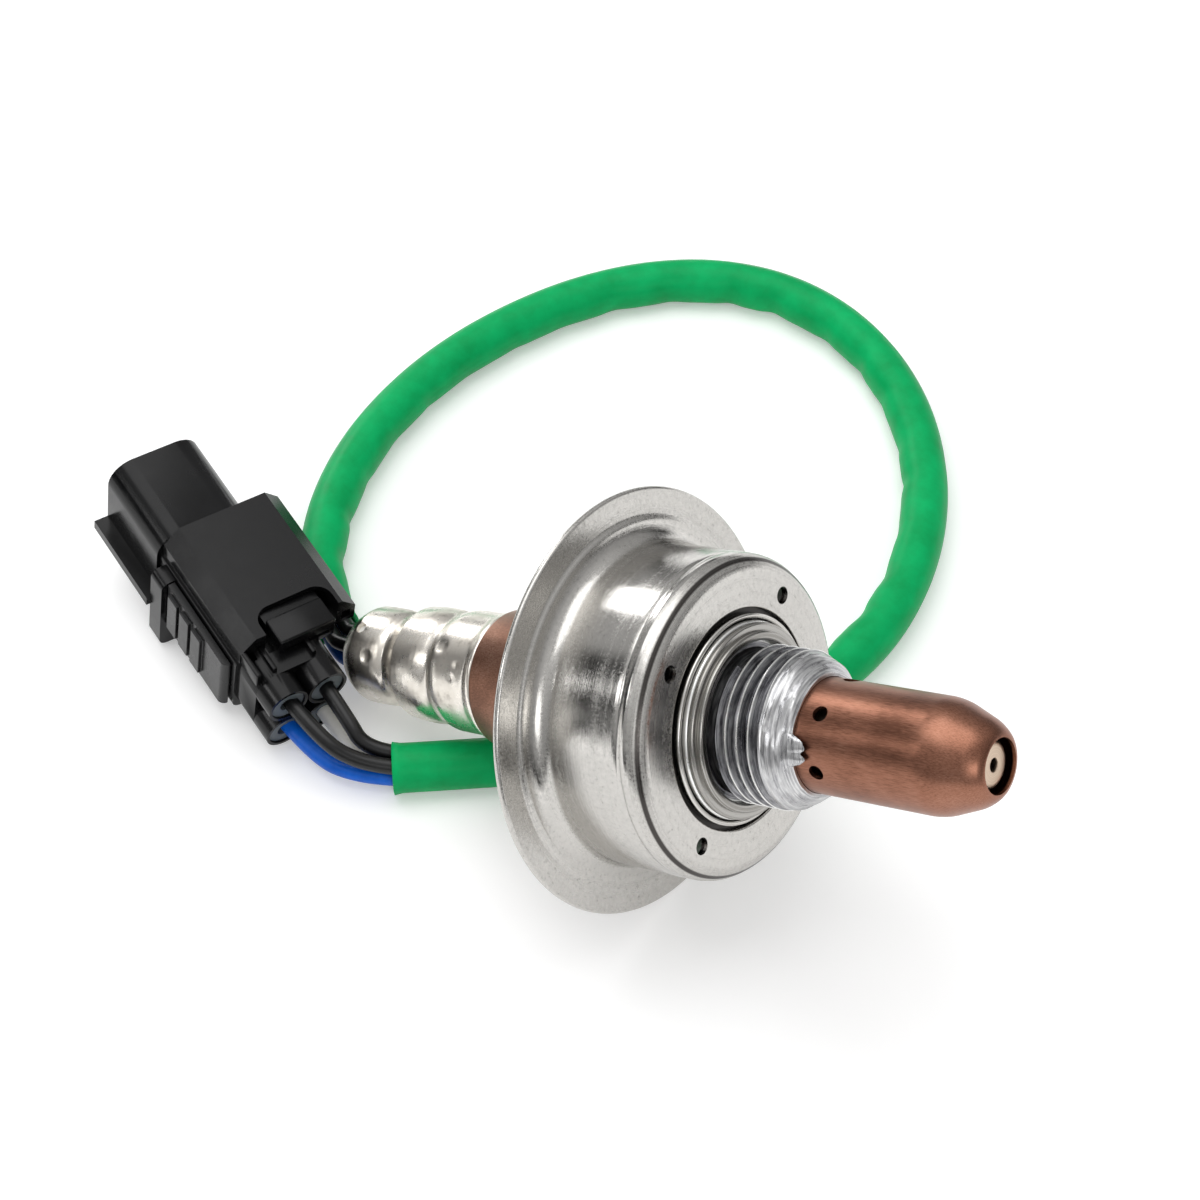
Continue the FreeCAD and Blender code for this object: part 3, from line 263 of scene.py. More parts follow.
def turned(outline, steps=144):
    """The form that an outline leaves when it is spun once round the sensor's X axis."""
    bm = bmesh.new()
    closed_outline(bm, outline)
    bmesh.ops.spin(bm, geom=bm.verts[:] + bm.edges[:], cent=(0, 0, 0), axis=(1, 0, 0), dvec=(0, 0, 0),
                   angle=2 * math.pi, steps=steps, use_merge=True, use_duplicate=False)
    bmesh.ops.remove_doubles(bm, verts=bm.verts, dist=1e-5)
    bmesh.ops.recalc_face_normals(bm, faces=bm.faces)
    return bm


# %% Finish a piece
def finished(bm, name, material, node, matrix=on_sensor, sharp=32):
    """Makes a shown piece of a bmesh: placed, smooth, with sharp creases, in place of a CAD node."""
    bmesh.ops.transform(bm, matrix=matrix, verts=bm.verts)
    mesh = bpy.data.meshes.new(name)
    bm.to_mesh(mesh)
    bm.free()
    for face in mesh.polygons:
        face.use_smooth = True
    mesh.set_sharp_from_angle(angle=math.radians(sharp))
    mesh.materials.append(material)
    piece = placed(name, mesh)
    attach(piece, "root")
    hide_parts(node)
    print("%-22s %6d faces" % (name, len(mesh.polygons)))
    return piece


def turned_piece(bm, name, material, node, sharp=32):
    """A finished piece whose flat faces keep flat shading beside their rounded corners."""
    piece = finished(bm, name, material, node, sharp=sharp)
    flats = piece.modifiers.new("flat_faces_stay_flat", "WEIGHTED_NORMAL")
    flats.keep_sharp = True


# %% Carve and drill
def radial(turn_degrees):
    """The direction straight out from the axis, at a turn from the top towards the viewer."""
    turn = math.radians(turn_degrees)
    return Vector((0, -math.sin(turn), math.cos(turn)))


def shape_of(item):
    """A new mesh of an object, as its modifiers and settings leave it."""
    return bpy.data.meshes.new_from_object(item.evaluated_get(bpy.context.evaluated_depsgraph_get()))


def carve(bm, cutter_bm):
    """Takes the cutter away from bm with an exact boolean, and uses the cutter up."""
    pair = []
    for name, form in (("blank", bm), ("cutter", cutter_bm)):
        mesh = bpy.data.meshes.new(name)
        form.to_mesh(mesh)
        pair.append(placed(name, mesh))
    cutter_bm.free()
    cut = pair[0].modifiers.new("cut", "BOOLEAN")
    cut.operation = "DIFFERENCE"
    cut.solver = "EXACT"
    cut.object = pair[1]
    result = shape_of(pair[0])
    bm.clear()
    bm.from_mesh(result)
    for item in pair:
        bpy.data.objects.remove(item)


def rods(places):
    """Straight rods, given as (centre, direction, radius, length)."""
    bm = bmesh.new()
    for centre, direction, radius, length in places:
        aim = Vector(direction).to_track_quat("Z", "Y").to_matrix().to_4x4()
        bmesh.ops.create_cone(bm, cap_ends=True, segments=48, radius1=radius, radius2=radius,
                              depth=length, matrix=Matrix.Translation(centre) @ aim)
    return bm


def block(low, high, edge=0.0):
    """A block between two opposite corners, with its edges rounded."""
    bm = bmesh.new()
    size = [b - a for a, b in zip(low, high)]
    middle = [(a + b) / 2 for a, b in zip(low, high)]
    bmesh.ops.create_cube(bm, size=1.0, matrix=Matrix.Translation(middle) @ Matrix.Diagonal((*size, 1.0)))
    if edge:
        bmesh.ops.bevel(bm, geom=bm.edges[:], offset=edge, offset_type="OFFSET", affect="EDGES",
                        segments=3, profile=0.5, material=-1)
    return bm


def join(bm, *extras):
    """Adds the faces of other forms to bm, and uses them up."""
    for extra in extras:
        mesh = bpy.data.meshes.new("joined")
        extra.to_mesh(mesh)
        extra.free()
        bm.from_mesh(mesh)
        bpy.data.meshes.remove(mesh)


# %% [markdown]
# ## Metals
#
# All the metals share one idea: the tool or the die ran round the axis, so the finest marks are rings.
# Object coordinates are turned into the sensor's own frame by a Mapping node, and the distance from
# the axis is worked out from them. Noise that changes fast along the axis and across the radius, but
# not round it, draws exactly such rings.

# %% Coordinates on the sensor
def lathe_frame(tree):
    """Object coordinates in the sensor's own frame, in metres."""
    place = add(tree, "ShaderNodeTexCoord")
    return add(tree, "ShaderNodeMapping", {"Vector": place.outputs["Object"], "Location": axis_start,
                                           "Rotation": (0.0, -rest_tilt, 0.0)},
               vector_type="TEXTURE").outputs[0]


def ring_frame(tree, local):
    """(along the axis, distance from it, 0): a pattern in it is made of rings."""
    split = add(tree, "ShaderNodeSeparateXYZ", {"Vector": local})
    flat = add(tree, "ShaderNodeCombineXYZ", {"Y": split.outputs["Y"], "Z": split.outputs["Z"]})
    radius = add(tree, "ShaderNodeVectorMath", {0: flat.outputs[0]}, operation="LENGTH")
    return add(tree, "ShaderNodeCombineXYZ",
               {"X": split.outputs["X"], "Y": radius.outputs["Value"]}).outputs[0]


def pattern(tree, vector, size_mm, detail=3.0, roughness=0.55):
    """Noise whose features are about size_mm millimetres across."""
    return add(tree, "ShaderNodeTexNoise", {"Vector": vector, "Scale": 1.0 / (size_mm * MM),
                                            "Detail": detail, "Roughness": roughness}).outputs["Fac"]


def graded(tree, factor, *stops):
    """A colour ramp of (position, hex colour) stops."""
    node = add(tree, "ShaderNodeValToRGB", {"Fac": factor})
    elements = node.color_ramp.elements
    while len(elements) < len(stops):
        elements.new(0.5)
    for element, (position, hex_colour) in zip(elements, stops):
        element.position = position
        element.color = paint(hex_colour)
    return node.outputs["Color"]


def ranged(tree, value, low, high, to_low, to_high):
    return add(tree, "ShaderNodeMapRange", {"Value": value, "From Min": low, "From Max": high,
                                            "To Min": to_low, "To Max": to_high}).outputs[0]


def across(tree, distance, limits_mm, to_low=0.0, to_high=1.0):
    """Goes from one value to the other between two distances in millimetres."""
    return ranged(tree, distance, limits_mm[0] * MM, limits_mm[1] * MM, to_low, to_high)


def new_material(name):
    material = bpy.data.materials.new(name)
    material.use_nodes = True
    tree = material.node_tree
    return material, tree, tree.nodes["Principled BSDF"]


def set_shader(shader, **sockets):
    """Sets constants on the shader's own sockets; an underscore stands for a space."""
    for name, setting in sockets.items():
        shader.inputs[name.replace("_", " ")].default_value = setting


def bumped(tree, shader, height_socket, depth_mm, strength=0.5):
    bump = add(tree, "ShaderNodeBump", {"Height": height_socket, "Distance": depth_mm * MM,
                                        "Strength": strength})
    tree.links.new(bump.outputs[0], shader.inputs["Normal"])


# %% [markdown]
# The shield is deep-drawn stainless steel, polished by the die, with faint spun rings and a few
# specks. It is a bright mirror broken by fine lines, so it has a low roughness that the rings vary.
# The inside of the cup is told apart by its place and painted dark: painted shade in the cup's hollow.

# %% Drawn stainless steel
# The painted shade inside the cup ends between these distances, along the axis and from it.
CUP_SHADE_ALONG = (14.75, 14.85)
CUP_SHADE_RADIUS = (18.05, 18.15)


def drawn_stainless():
    material, tree, shader = new_material("drawn_stainless_steel")
    local = lathe_frame(tree)
    rings = ring_frame(tree, local)
    fine = pattern(tree, rings, 0.16, 4.0, 0.7)
    broad = pattern(tree, rings, 1.6, 2.0)
    specks = pattern(tree, local, 0.5, 6.0, 0.75)
    colour = graded(tree, specks, (0.28, "85827e"), (0.4, "bebcb8"), (0.8, "cecbc7"))
    split = add(tree, "ShaderNodeSeparateXYZ", {"Vector": rings})
    behind_face = across(tree, split.outputs["X"], CUP_SHADE_ALONG, 1.0, 0.0)
    within_wall = across(tree, split.outputs["Y"], CUP_SHADE_RADIUS, 1.0, 0.0)
    inside = product(tree, behind_face, within_wall)
    # Painted shade: the cup's hollow is darkened in its colour only, not in its roughness.
    tree.links.new(blend(tree, inside, colour, paint("4b4846")), shader.inputs["Base Color"])
    grain = pattern(tree, local, 0.35, 5.0, 0.7)
    mixed = product(tree, product(tree, fine, broad), grain)
    tree.links.new(ranged(tree, mixed, 0.06, 0.2, 0.1, 0.36), shader.inputs["Roughness"])
    set_shader(shader, Metallic=1.0)
    bumped(tree, shader, fine, 0.024)
    return material


shield_steel = drawn_stainless()


# %% [markdown]
# ## Heat shield
#
# The shield is a cup drawn from 0.8 mm sheet, with a stepped flange at its mouth, a large round at the
# root, and a shallow bead just behind its rounded front. Its outline is the wall itself, so both faces
# are real.

# %% Heat shield cup
SHIELD_RADIUS = 24.75
CUP_RADIUS = 18.55
SHIELD_WALL = 0.8
SHIELD_DEPTH = 15.2
ROOT_ROUND = 2.0
FRONT_ROUND = 2.0
FACE_HOLE = 12.56
VENT_CIRCLE = 14.9
VENT_RADIUS = 1.0
VENT_TURN = 29.0
STEP_RADIUS = 21.6
STEP = 0.35
BEAD_X = 12.35
BEAD_DEPTH = 0.14
BEAD_HALF_WIDTH = 0.5

inner_radius = CUP_RADIUS - SHIELD_WALL
shield = turned([
    (0.0, SHIELD_RADIUS, 0.35),
    (SHIELD_WALL, SHIELD_RADIUS, 0.35),
    (SHIELD_WALL, STEP_RADIUS, 0.24),
    (SHIELD_WALL + STEP, STEP_RADIUS - 0.5, 0.24),
    (SHIELD_WALL + STEP, CUP_RADIUS, ROOT_ROUND),
    (BEAD_X - BEAD_HALF_WIDTH, CUP_RADIUS, 0.3),
    (BEAD_X, CUP_RADIUS - BEAD_DEPTH, 0.34),
    (BEAD_X + BEAD_HALF_WIDTH, CUP_RADIUS, 0.3),
    (SHIELD_DEPTH, CUP_RADIUS, FRONT_ROUND),
    (SHIELD_DEPTH, FACE_HOLE, 0.25),
    (SHIELD_DEPTH - SHIELD_WALL, FACE_HOLE, 0.2),
    (SHIELD_DEPTH - SHIELD_WALL, inner_radius, FRONT_ROUND - SHIELD_WALL),
    (BEAD_X + BEAD_HALF_WIDTH, inner_radius, 0.15),
    (BEAD_X, inner_radius - BEAD_DEPTH, 0.2),
    (BEAD_X - BEAD_HALF_WIDTH, inner_radius, 0.15),
    (STEP, inner_radius, ROOT_ROUND + SHIELD_WALL),
    (STEP, STEP_RADIUS - STEP, 0.3),
    (0.0, STEP_RADIUS, 0.3),
], steps=180)
vents = []
for quarter in range(4):
    centre = Vector((SHIELD_DEPTH, 0, 0)) + radial(VENT_TURN + 90 * quarter) * VENT_CIRCLE
    vents.append((centre, (1, 0, 0), VENT_RADIUS, 6.0))
carve(shield, rods(vents))
turned_piece(shield, "shield_cup", shield_steel, "heat_shield_cup")


# %% [markdown]
# ## Threaded housing
#
# The housing is turned from bar, with an M18 thread of 1.5 mm pitch. The thread is one helical ridge:
# a spin that also moves along the axis at each step draws it, and the ridge fades out at both ends as
# a rolled thread does. Grey anti-seize paste fills the last turns, so they are nearly smooth.

# %% Anti-seize paste
# Along the axis, the painted shade inside the cup ends and the paste grows thick between these distances.
# From the axis, a crest is worn bright between the last two.
CUP_SHADE_ENDS = (15.2, 15.5)
PASTE_THICKENS = (22.8, 24.0)
CREST_WORN = (8.84, 8.94)


def anti_seize():
    """Silvery metal powder in grease, dragged round into fine rings; the steel behind it, in the cup's
    hollow, is painted dark as painted shade.
    """
    material, tree, shader = new_material("anti_seize_paste")
    local = lathe_frame(tree)
    dragged = add(tree, "ShaderNodeMapping", {"Vector": local, "Scale": (1.0, 0.16, 0.16)}).outputs[0]
    lumps = pattern(tree, dragged, 0.5, 4.0, 0.6)
    rings = ring_frame(tree, local)
    streaks = pattern(tree, rings, 0.16, 3.0, 0.7)
    mixed = add(tree, "ShaderNodeMix", {"Factor": 0.45, "A": streaks, "B": lumps}).outputs["Result"]
    thin = graded(tree, mixed, (0.36, "3e3e42"), (0.47, "6e6e72"), (0.6, "b0b0b2"))
    thick = graded(tree, mixed, (0.36, "77777a"), (0.47, "adadaf"), (0.6, "dcdcdc"))
    split = add(tree, "ShaderNodeSeparateXYZ", {"Vector": rings})
    colour = blend(tree, across(tree, split.outputs["X"], PASTE_THICKENS), thin, thick)
    colour = blend(tree, across(tree, split.outputs["Y"], CREST_WORN), colour, paint("eeeeec"))
    # Painted shade: the housing behind the cup's face, in its hollow, is darkened in its colour.
    cup_shade = across(tree, split.outputs["X"], CUP_SHADE_ENDS, 1.0, 0.0)
    tree.links.new(blend(tree, cup_shade, colour, paint("3a3837")), shader.inputs["Base Color"])
    tree.links.new(ranged(tree, lumps, 0.3, 0.7, 0.22, 0.42), shader.inputs["Roughness"])
    set_shader(shader, Metallic=1.0)
    bumped(tree, shader, mixed, 0.05, 0.8)
    return material


paste = anti_seize()

# %% Threaded housing
THREAD_PITCH = 1.5
CREST_RADIUS = 8.98
ROOT_RADIUS = 8.06
THREAD_FIRST = 17.75
THREAD_TURNS = 4.6
TURN_STEPS = 120
RIDGE_HALF_WIDTH = 0.58
CREST_HALF_WIDTH = 0.05
FADE_START = 0.62
FADE_IN = 1.2
FADE_OUT = 1.6
RIDGE_WAVER = 0.025
PASTE_START = 23.7
PASTE_LENGTH = 3.1
PASTE_RADIUS = 8.75
PASTE_FALL = 1.9
PASTE_SMALLEST = 6.6
PASTE_ROWS = 26
PASTE_FOLD = 0.22
FLAKE_TURN = 62.0
FLAKE_HALF_ANGLE = 15.0
FLAKE_LENGTH = 2.0


def helical_ridge():
    """The thread's ridge, spun and moved along by one pitch a turn."""
    bm = bmesh.new()
    foot = ROOT_RADIUS - 0.15
    section = [(-RIDGE_HALF_WIDTH, foot), (-CREST_HALF_WIDTH, CREST_RADIUS),
               (CREST_HALF_WIDTH, CREST_RADIUS), (RIDGE_HALF_WIDTH, foot)]
    closed_outline(bm, [(THREAD_FIRST + x, radius, 0.0) for x, radius in section])
    steps = round(THREAD_TURNS * TURN_STEPS)
    bmesh.ops.spin(bm, geom=bm.verts[:] + bm.edges[:], cent=(0, 0, 0), axis=(1, 0, 0),
                   dvec=(THREAD_PITCH / TURN_STEPS, 0, 0), angle=2 * math.pi * THREAD_TURNS, steps=steps,
                   use_merge=False, use_duplicate=False)
    last = THREAD_FIRST + THREAD_PITCH * THREAD_TURNS
    for vertex in bm.verts:
        radius = math.hypot(vertex.co.y, vertex.co.z)
        fade_in = (vertex.co.x - THREAD_FIRST + FADE_START) / FADE_IN
        fade_out = (last - vertex.co.x + FADE_START) / FADE_OUT
        wanted = foot + (radius - foot) * max(min(1.0, fade_in, fade_out), 0.0)
        place_in_noise = Vector((vertex.co.x * 2.0, vertex.co.y * 0.6, vertex.co.z * 0.6))
        wanted += RIDGE_WAVER * noise.fractal(place_in_noise, 1.0, 2.1, 3)
        vertex.co.y *= wanted / radius
        vertex.co.z *= wanted / radius
    bmesh.ops.holes_fill(bm, edges=[edge for edge in bm.edges if edge.is_boundary], sides=4)
    bmesh.ops.recalc_face_normals(bm, faces=bm.faces)
    return bm


def turned_body():
    """The housing without its thread, finely divided where the paste makes it lumpy."""
    paste_rows = []
    for row in range(PASTE_ROWS):
        share = row / (PASTE_ROWS - 1)
        radius = PASTE_RADIUS - PASTE_FALL * share ** 1.6
        paste_rows.append((PASTE_START + share * PASTE_LENGTH, radius, 0.0))
    bm = turned([
        (-2.0, 7.0, 0.0), (-2.0, 9.6, 0.4), (6.0, 9.6, 0.0), (12.4, 9.6, 0.0), (12.4, 13.8, 0.25),
        (14.4, 13.8, 0.0), (14.4, 11.2, 0.0), (16.0, 11.2, 0.25), (16.0, 8.2, 0.2),
        (17.4, ROOT_RADIUS, 0.1), (23.3, ROOT_RADIUS, 0.3), *paste_rows,
        (26.75, 6.46, 0.0), (22.0, 6.46, 0.0), (22.0, 5.2, 0.0), (10.0, 5.2, 0.0), (10.0, 7.0, 0.0),
    ], steps=240)
    for vertex in bm.verts:
        radius = math.hypot(vertex.co.y, vertex.co.z)
        if vertex.co.x > PASTE_START and radius > PASTE_SMALLEST:
            share = (vertex.co.x - PASTE_START) / PASTE_LENGTH
            dragged = Vector((vertex.co.x * 1.6, vertex.co.y * 0.2, vertex.co.z * 0.2))
            lump = PASTE_FOLD * noise.fractal(dragged, 1.0, 2.2, 4) * min(share * 4, 1.0)
            grown = max(radius + lump, PASTE_SMALLEST)
            vertex.co.y *= grown / radius
            vertex.co.z *= grown / radius
            turn = math.degrees(math.atan2(-vertex.co.y, vertex.co.z))
            torn = 0.8 + 0.5 * noise.noise(Vector((turn * 0.15, 1.0, 0.0)))
            flake = torn * max(0.0, 1 - ((turn - FLAKE_TURN) / FLAKE_HALF_ANGLE) ** 4)
            vertex.co.x += FLAKE_LENGTH * flake * max(share - 0.7, 0.0) / 0.3
    return bm


HEX_ACROSS = 22.0
HEX_THICK = 6.4
HEX_MIDDLE = 9.2

housing = turned_body()
hexagon = bmesh.new()
flat_on_top = Matrix.Rotation(math.pi / 2, 4, "Y") @ Matrix.Rotation(math.pi / 2, 4, "Z")
hex_corner = HEX_ACROSS / math.sqrt(3)
bmesh.ops.create_cone(hexagon, cap_ends=True, segments=6, radius1=hex_corner, radius2=hex_corner,
                      depth=HEX_THICK, matrix=Matrix.Translation((HEX_MIDDLE, 0, 0)) @ flat_on_top)
bmesh.ops.bevel(hexagon, geom=hexagon.edges[:], offset=0.3, offset_type="OFFSET", affect="EDGES",
                segments=2, profile=0.5, material=-1)
join(housing, hexagon, helical_ridge())
turned_piece(housing, "housing_with_thread", paste, "threaded_housing")


# %% [markdown]
# ## Rings under the thread
#
# The gasket is a thin steel tube rolled flat into a ring: two soft folds, one on the other. Outside
# it a plain bright ring holds the cup.

# %% Rolled steel
def ring_metal(name, light, dark, low, high):
    material, tree, shader = new_material(name)
    rings = ring_frame(tree, lathe_frame(tree))
    fine = pattern(tree, rings, 0.2, 3.0, 0.6)
    tree.links.new(graded(tree, fine, (0.3, dark), (0.65, light)), shader.inputs["Base Color"])
    tree.links.new(ranged(tree, fine, 0.3, 0.7, low, high), shader.inputs["Roughness"])
    set_shader(shader, Metallic=1.0)
    bumped(tree, shader, fine, 0.01)
    return material


gasket_steel = ring_metal("rolled_gasket_steel", "b4b2ae", "7b7873", 0.18, 0.34)
bright_ring = ring_metal("bright_ring_steel", "d3d1cd", "9d9a95", 0.12, 0.26)

# %% Gasket and ring
gasket = turned([(16.0, 9.5, 0.3), (16.0, 11.1, 0.34), (16.72, 11.1, 0.34), (16.72, 9.5, 0.3)])
join(gasket, turned([(16.5, 9.15, 0.3), (16.5, 10.25, 0.34), (17.3, 10.25, 0.34), (17.3, 9.15, 0.3)]))
turned_piece(gasket, "folded_gasket", gasket_steel, "gasket_ring")

ring = turned([(14.4, 11.4, 0.1), (14.4, 11.98, 0.1), (15.6, 11.98, 0.26), (15.6, 11.4, 0.26)])
turned_piece(ring, "shield_ring", bright_ring, "shield_retaining_ring")


# %% [markdown]
# ## Protection tubes
#
# The outer tube is drawn steel, browned by heat: copper-brown, satin, with fine scratches along it.
# Six gas holes let exhaust in. The inner tube's pale nose shows through the opening at the tip.

# %% Heat-tinted steel
def tinted_steel(name, dark, middle, light, stretch, low, high):
    """Steel browned by heat, with fine scratches along the axis."""
    material, tree, shader = new_material(name)
    local = lathe_frame(tree)
    lengthwise = add(tree, "ShaderNodeMapping", {"Vector": local, "Scale": (stretch, 1.0, 1.0)}).outputs[0]
    scratches = pattern(tree, lengthwise, 0.12, 3.0, 0.7)
    clouds = pattern(tree, local, 7.0, 3.0, 0.5)
    colour = graded(tree, product(tree, scratches, clouds), (0.14, dark), (0.25, middle), (0.42, light))
    tree.links.new(colour, shader.inputs["Base Color"])
    tree.links.new(ranged(tree, scratches, 0.3, 0.7, low, high), shader.inputs["Roughness"])
    set_shader(shader, Metallic=1.0)
    bumped(tree, shader, scratches, 0.008)
    return material


tube_steel = tinted_steel("heat_tinted_steel", "704b3c", "926552", "a97a66", 0.1, 0.3, 0.42)
shell_steel = tinted_steel("browned_shell_steel", "5e4337", "87614f", "a88270", 0.4, 0.3, 0.42)
disc_steel = ring_metal("pale_tube_steel", "e2cfbb", "b79f88", 0.3, 0.5)

# %% Outer and inner tube
tube = turned([
    (22.0, 6.4, 0.0), (42.7, 6.4, 1.2), (47.3, 4.6, 0.9), (48.4, 3.5, 0.6), (48.4, 3.05, 0.12),
    (47.9, 3.05, 0.12), (47.9, 3.4, 0.3), (47.2, 4.1, 0.4), (42.7, 5.9, 1.0), (22.0, 5.9, 0.0),
])
GAS_HOLE_X = 29.3
GAS_HOLE_RADIUS = 0.9
GAS_HOLE_TURN = 23.0
TUBE_RADIUS = 6.4

gas_holes = []
for sixth in range(6):
    outward = radial(GAS_HOLE_TURN + 60 * sixth)
    middle = Vector((GAS_HOLE_X, 0, 0)) + outward * (TUBE_RADIUS - 0.2)
    gas_holes.append((middle, outward, GAS_HOLE_RADIUS, 3.0))
carve(tube, rods(gas_holes))
turned_piece(tube, "tip_tube", tube_steel, "outer_protection_tube")

inner = turned([
    (22.0, 5.8, 0.1), (22.6, 5.8, 0.1), (22.6, 4.2, 0.2), (41.0, 4.2, 1.0), (47.2, 2.7, 0.3),
    (47.6, 2.3, 0.3), (47.6, 0.75, 0.1), (47.2, 0.75, 0.1), (47.2, 2.3, 0.2), (41.0, 3.8, 1.0),
    (22.0, 3.8, 0.0),
])
turned_piece(inner, "inner_tube", disc_steel, "inner_protection_tube")


# %% [markdown]
# ## Rear shell and crimped sleeve
#
# The shell is a plain cone of browned steel. The sleeve behind it is softer, shiny and warm grey. It
# is crimped in two grooves onto the rubber grommet, and the crimping tool left small dimples.

# %% Nickel-grey steel
def nickel_grey():
    material, tree, shader = new_material("warm_grey_sleeve_steel")
    local = lathe_frame(tree)
    blotches = pattern(tree, local, 2.6, 5.0, 0.62)
    rings = pattern(tree, ring_frame(tree, local), 0.3, 3.0, 0.6)
    colour = graded(tree, product(tree, blotches, 0.75), (0.2, "a8a197"), (0.32, "e2dcd2"), (0.5, "f3eee6"))
    tree.links.new(colour, shader.inputs["Base Color"])
    tree.links.new(ranged(tree, blotches, 0.3, 0.7, 0.36, 0.22), shader.inputs["Roughness"])
    set_shader(shader, Metallic=1.0)
    bumped(tree, shader, rings, 0.012)
    return material


sleeve_steel = nickel_grey()

# %% Shell
shell = turned([
    (4.0, 9.7, 0.15), (4.0, 10.4, 0.2), (-5.4, 10.4, 2.0), (-18.9, 8.25, 0.45), (-18.9, 6.85, 0.1),
    (-24.0, 6.85, 0.1), (-24.0, 6.15, 0.1), (-18.2, 6.15, 0.1), (-18.2, 7.55, 0.3), (-5.4, 9.7, 2.0),
])
turned_piece(shell, "rear_cone", shell_steel, "rear_shell")

# %% Crimped sleeve
SLEEVE_OUTER = [
    (-18.95, 7.95, 0.25), (-19.65, 7.95, 0.3), (-20.35, 7.43, 0.5), (-25.95, 7.43, 1.1),
    (-27.05, 6.7, 0.8), (-28.15, 7.0, 0.8), (-30.4, 7.25, 3.0), (-32.75, 6.95, 1.1),
    (-34.85, 5.55, 0.8), (-35.75, 5.55, 0.5),
    (-36.5, 5.95, 0.8), (-38.8, 6.15, 2.0), (-41.3, 6.0, 1.8), (-42.9, 4.9, 0.9),
]
# Each dimple: place along the axis, turn in degrees, radius and depth.
CRIMP_DIMPLES = [
    (-25.0, 24.0, 1.1, 0.32), (-38.0, 48.0, 0.9, 0.18), (-22.4, 52.0, 0.5, 0.12), (-21.8, 40.0, 0.4, 0.1),
    (-25.0, 114.0, 1.1, 0.32), (-25.0, -66.0, 1.1, 0.32), (-25.0, -156.0, 1.1, 0.32),
]
AIR_HOLE_X = -40.15
AIR_HOLE_TURNS = (15, 195)
AIR_HOLE_RADIUS = 0.7


def crimped_wall():
    tail = [(-43.25, 4.6, 0.2), (-43.25, 4.4, 0.1), (-42.75, 4.4, 0.1)]
    inside = [(x, radius - 0.5, size) for x, radius, size in reversed(SLEEVE_OUTER[2:])]
    bm = turned(SLEEVE_OUTER + tail + inside + [(-20.35, 6.9, 0.1), (-18.95, 6.9, 0.1)], steps=160)
    long_edges = [edge for edge in bm.edges
                  if edge.calc_length() > 0.5 and abs(edge.verts[0].co.x - edge.verts[1].co.x) > 0.4]
    bmesh.ops.subdivide_edges(bm, edges=long_edges, cuts=13, use_grid_fill=True)
    for x, turn_degrees, size, deepest in CRIMP_DIMPLES:
        outward = radial(turn_degrees)
        for vertex in bm.verts:
            if abs(vertex.co.x - x) > size or outward.dot(vertex.co) < 4:
                continue
            radius = math.hypot(vertex.co.y, vertex.co.z)
            away = (vertex.co - Vector((x, 0, 0)) - outward * radius).length / size
            if away < 1:
                vertex.co -= outward * deepest * (1 - away ** 2)
    holes = []
    for turn_degrees in AIR_HOLE_TURNS:
        outward = radial(turn_degrees)
        holes.append((Vector((AIR_HOLE_X, 0, 0)) + outward * 5.8, outward, AIR_HOLE_RADIUS, 2.0))
    carve(bm, rods(holes))
    return bm


turned_piece(crimped_wall(), "crimped_tail", sleeve_steel, "crimped_sleeve", sharp=50)


# %% [markdown]
# ## Plastics and rubber
#
# The connector is moulded glass-filled nylon: black, satin, with a fine spark-eroded grain. The leads
# are thin satin insulation, and the cover sleeve is a soft green tube. One function makes them all,
# because they differ only in colour, gloss and the size of their grain.

# %% Moulded and extruded plastics
def plastic(name, dark, light, low, high, grain_mm, grain_depth_mm, shine=0.4):
    """Clouded colour from dark to light, roughness from low to high, and a bumped grain."""
    material, tree, shader = new_material(name)
    place = add(tree, "ShaderNodeTexCoord").outputs["Object"]
    grain = pattern(tree, place, grain_mm, 3.0, 0.6)
    clouds = pattern(tree, place, 4.0, 4.0, 0.6)
    tree.links.new(graded(tree, clouds, (0.3, dark), (0.7, light)), shader.inputs["Base Color"])
    tree.links.new(ranged(tree, clouds, 0.3, 0.7, low, high), shader.inputs["Roughness"])
    set_shader(shader, Specular_IOR_Level=shine)
    bumped(tree, shader, grain, grain_depth_mm)
    return material


connector_black = plastic("moulded_black_nylon", "080809", "0d0d0e", 0.18, 0.28, 0.12, 0.006, shine=0.24)
retainer_black = plastic("moulded_black_retainer", "0b0b0c", "111112", 0.22, 0.34, 0.12, 0.006, shine=0.34)
green_cover = plastic("green_cover_tube", "009c54", "00b466", 0.36, 0.5, 0.8, 0.02, shine=0.13)
lead_black = plastic("black_lead_insulation", "0c0c0d", "171718", 0.26, 0.36, 0.5, 0.01)
lead_blue = plastic("blue_lead_insulation", "0052b8", "0a6be0", 0.3, 0.42, 0.5, 0.01, shine=0.3)
lead_white = plastic("white_lead_insulation", "d8d7d2", "ecebe6", 0.3, 0.4, 0.5, 0.01)
seal_silicone = plastic("grey_silicone_seal", "4c5357", "666d72", 0.4, 0.55, 0.3, 0.01)
grommet_rubber = plastic("black_grommet_rubber", "101010", "1b1b1b", 0.5, 0.65, 0.2, 0.015)
filter_white = plastic("white_porous_filter", "dcdbd6", "efeeea", 0.6, 0.75, 0.15, 0.03)
fired_ceramic = plastic("fired_alumina", "e4e3dd", "f3f2ed", 0.45, 0.6, 0.2, 0.01)
pressed_talc = plastic("pressed_talc", "c8c7c2", "dbdad5", 0.7, 0.85, 0.3, 0.04)
sensor_ceramic = plastic("sensor_element_ceramic", "d6d5cf", "eae9e3", 0.4, 0.55, 0.2, 0.01)
spring_alloy = ring_metal("spring_alloy", "cfccc5", "99958d", 0.2, 0.34)
tinned_pins = ring_metal("tinned_brass_pins", "d9d4c8", "a9a294", 0.2, 0.32)

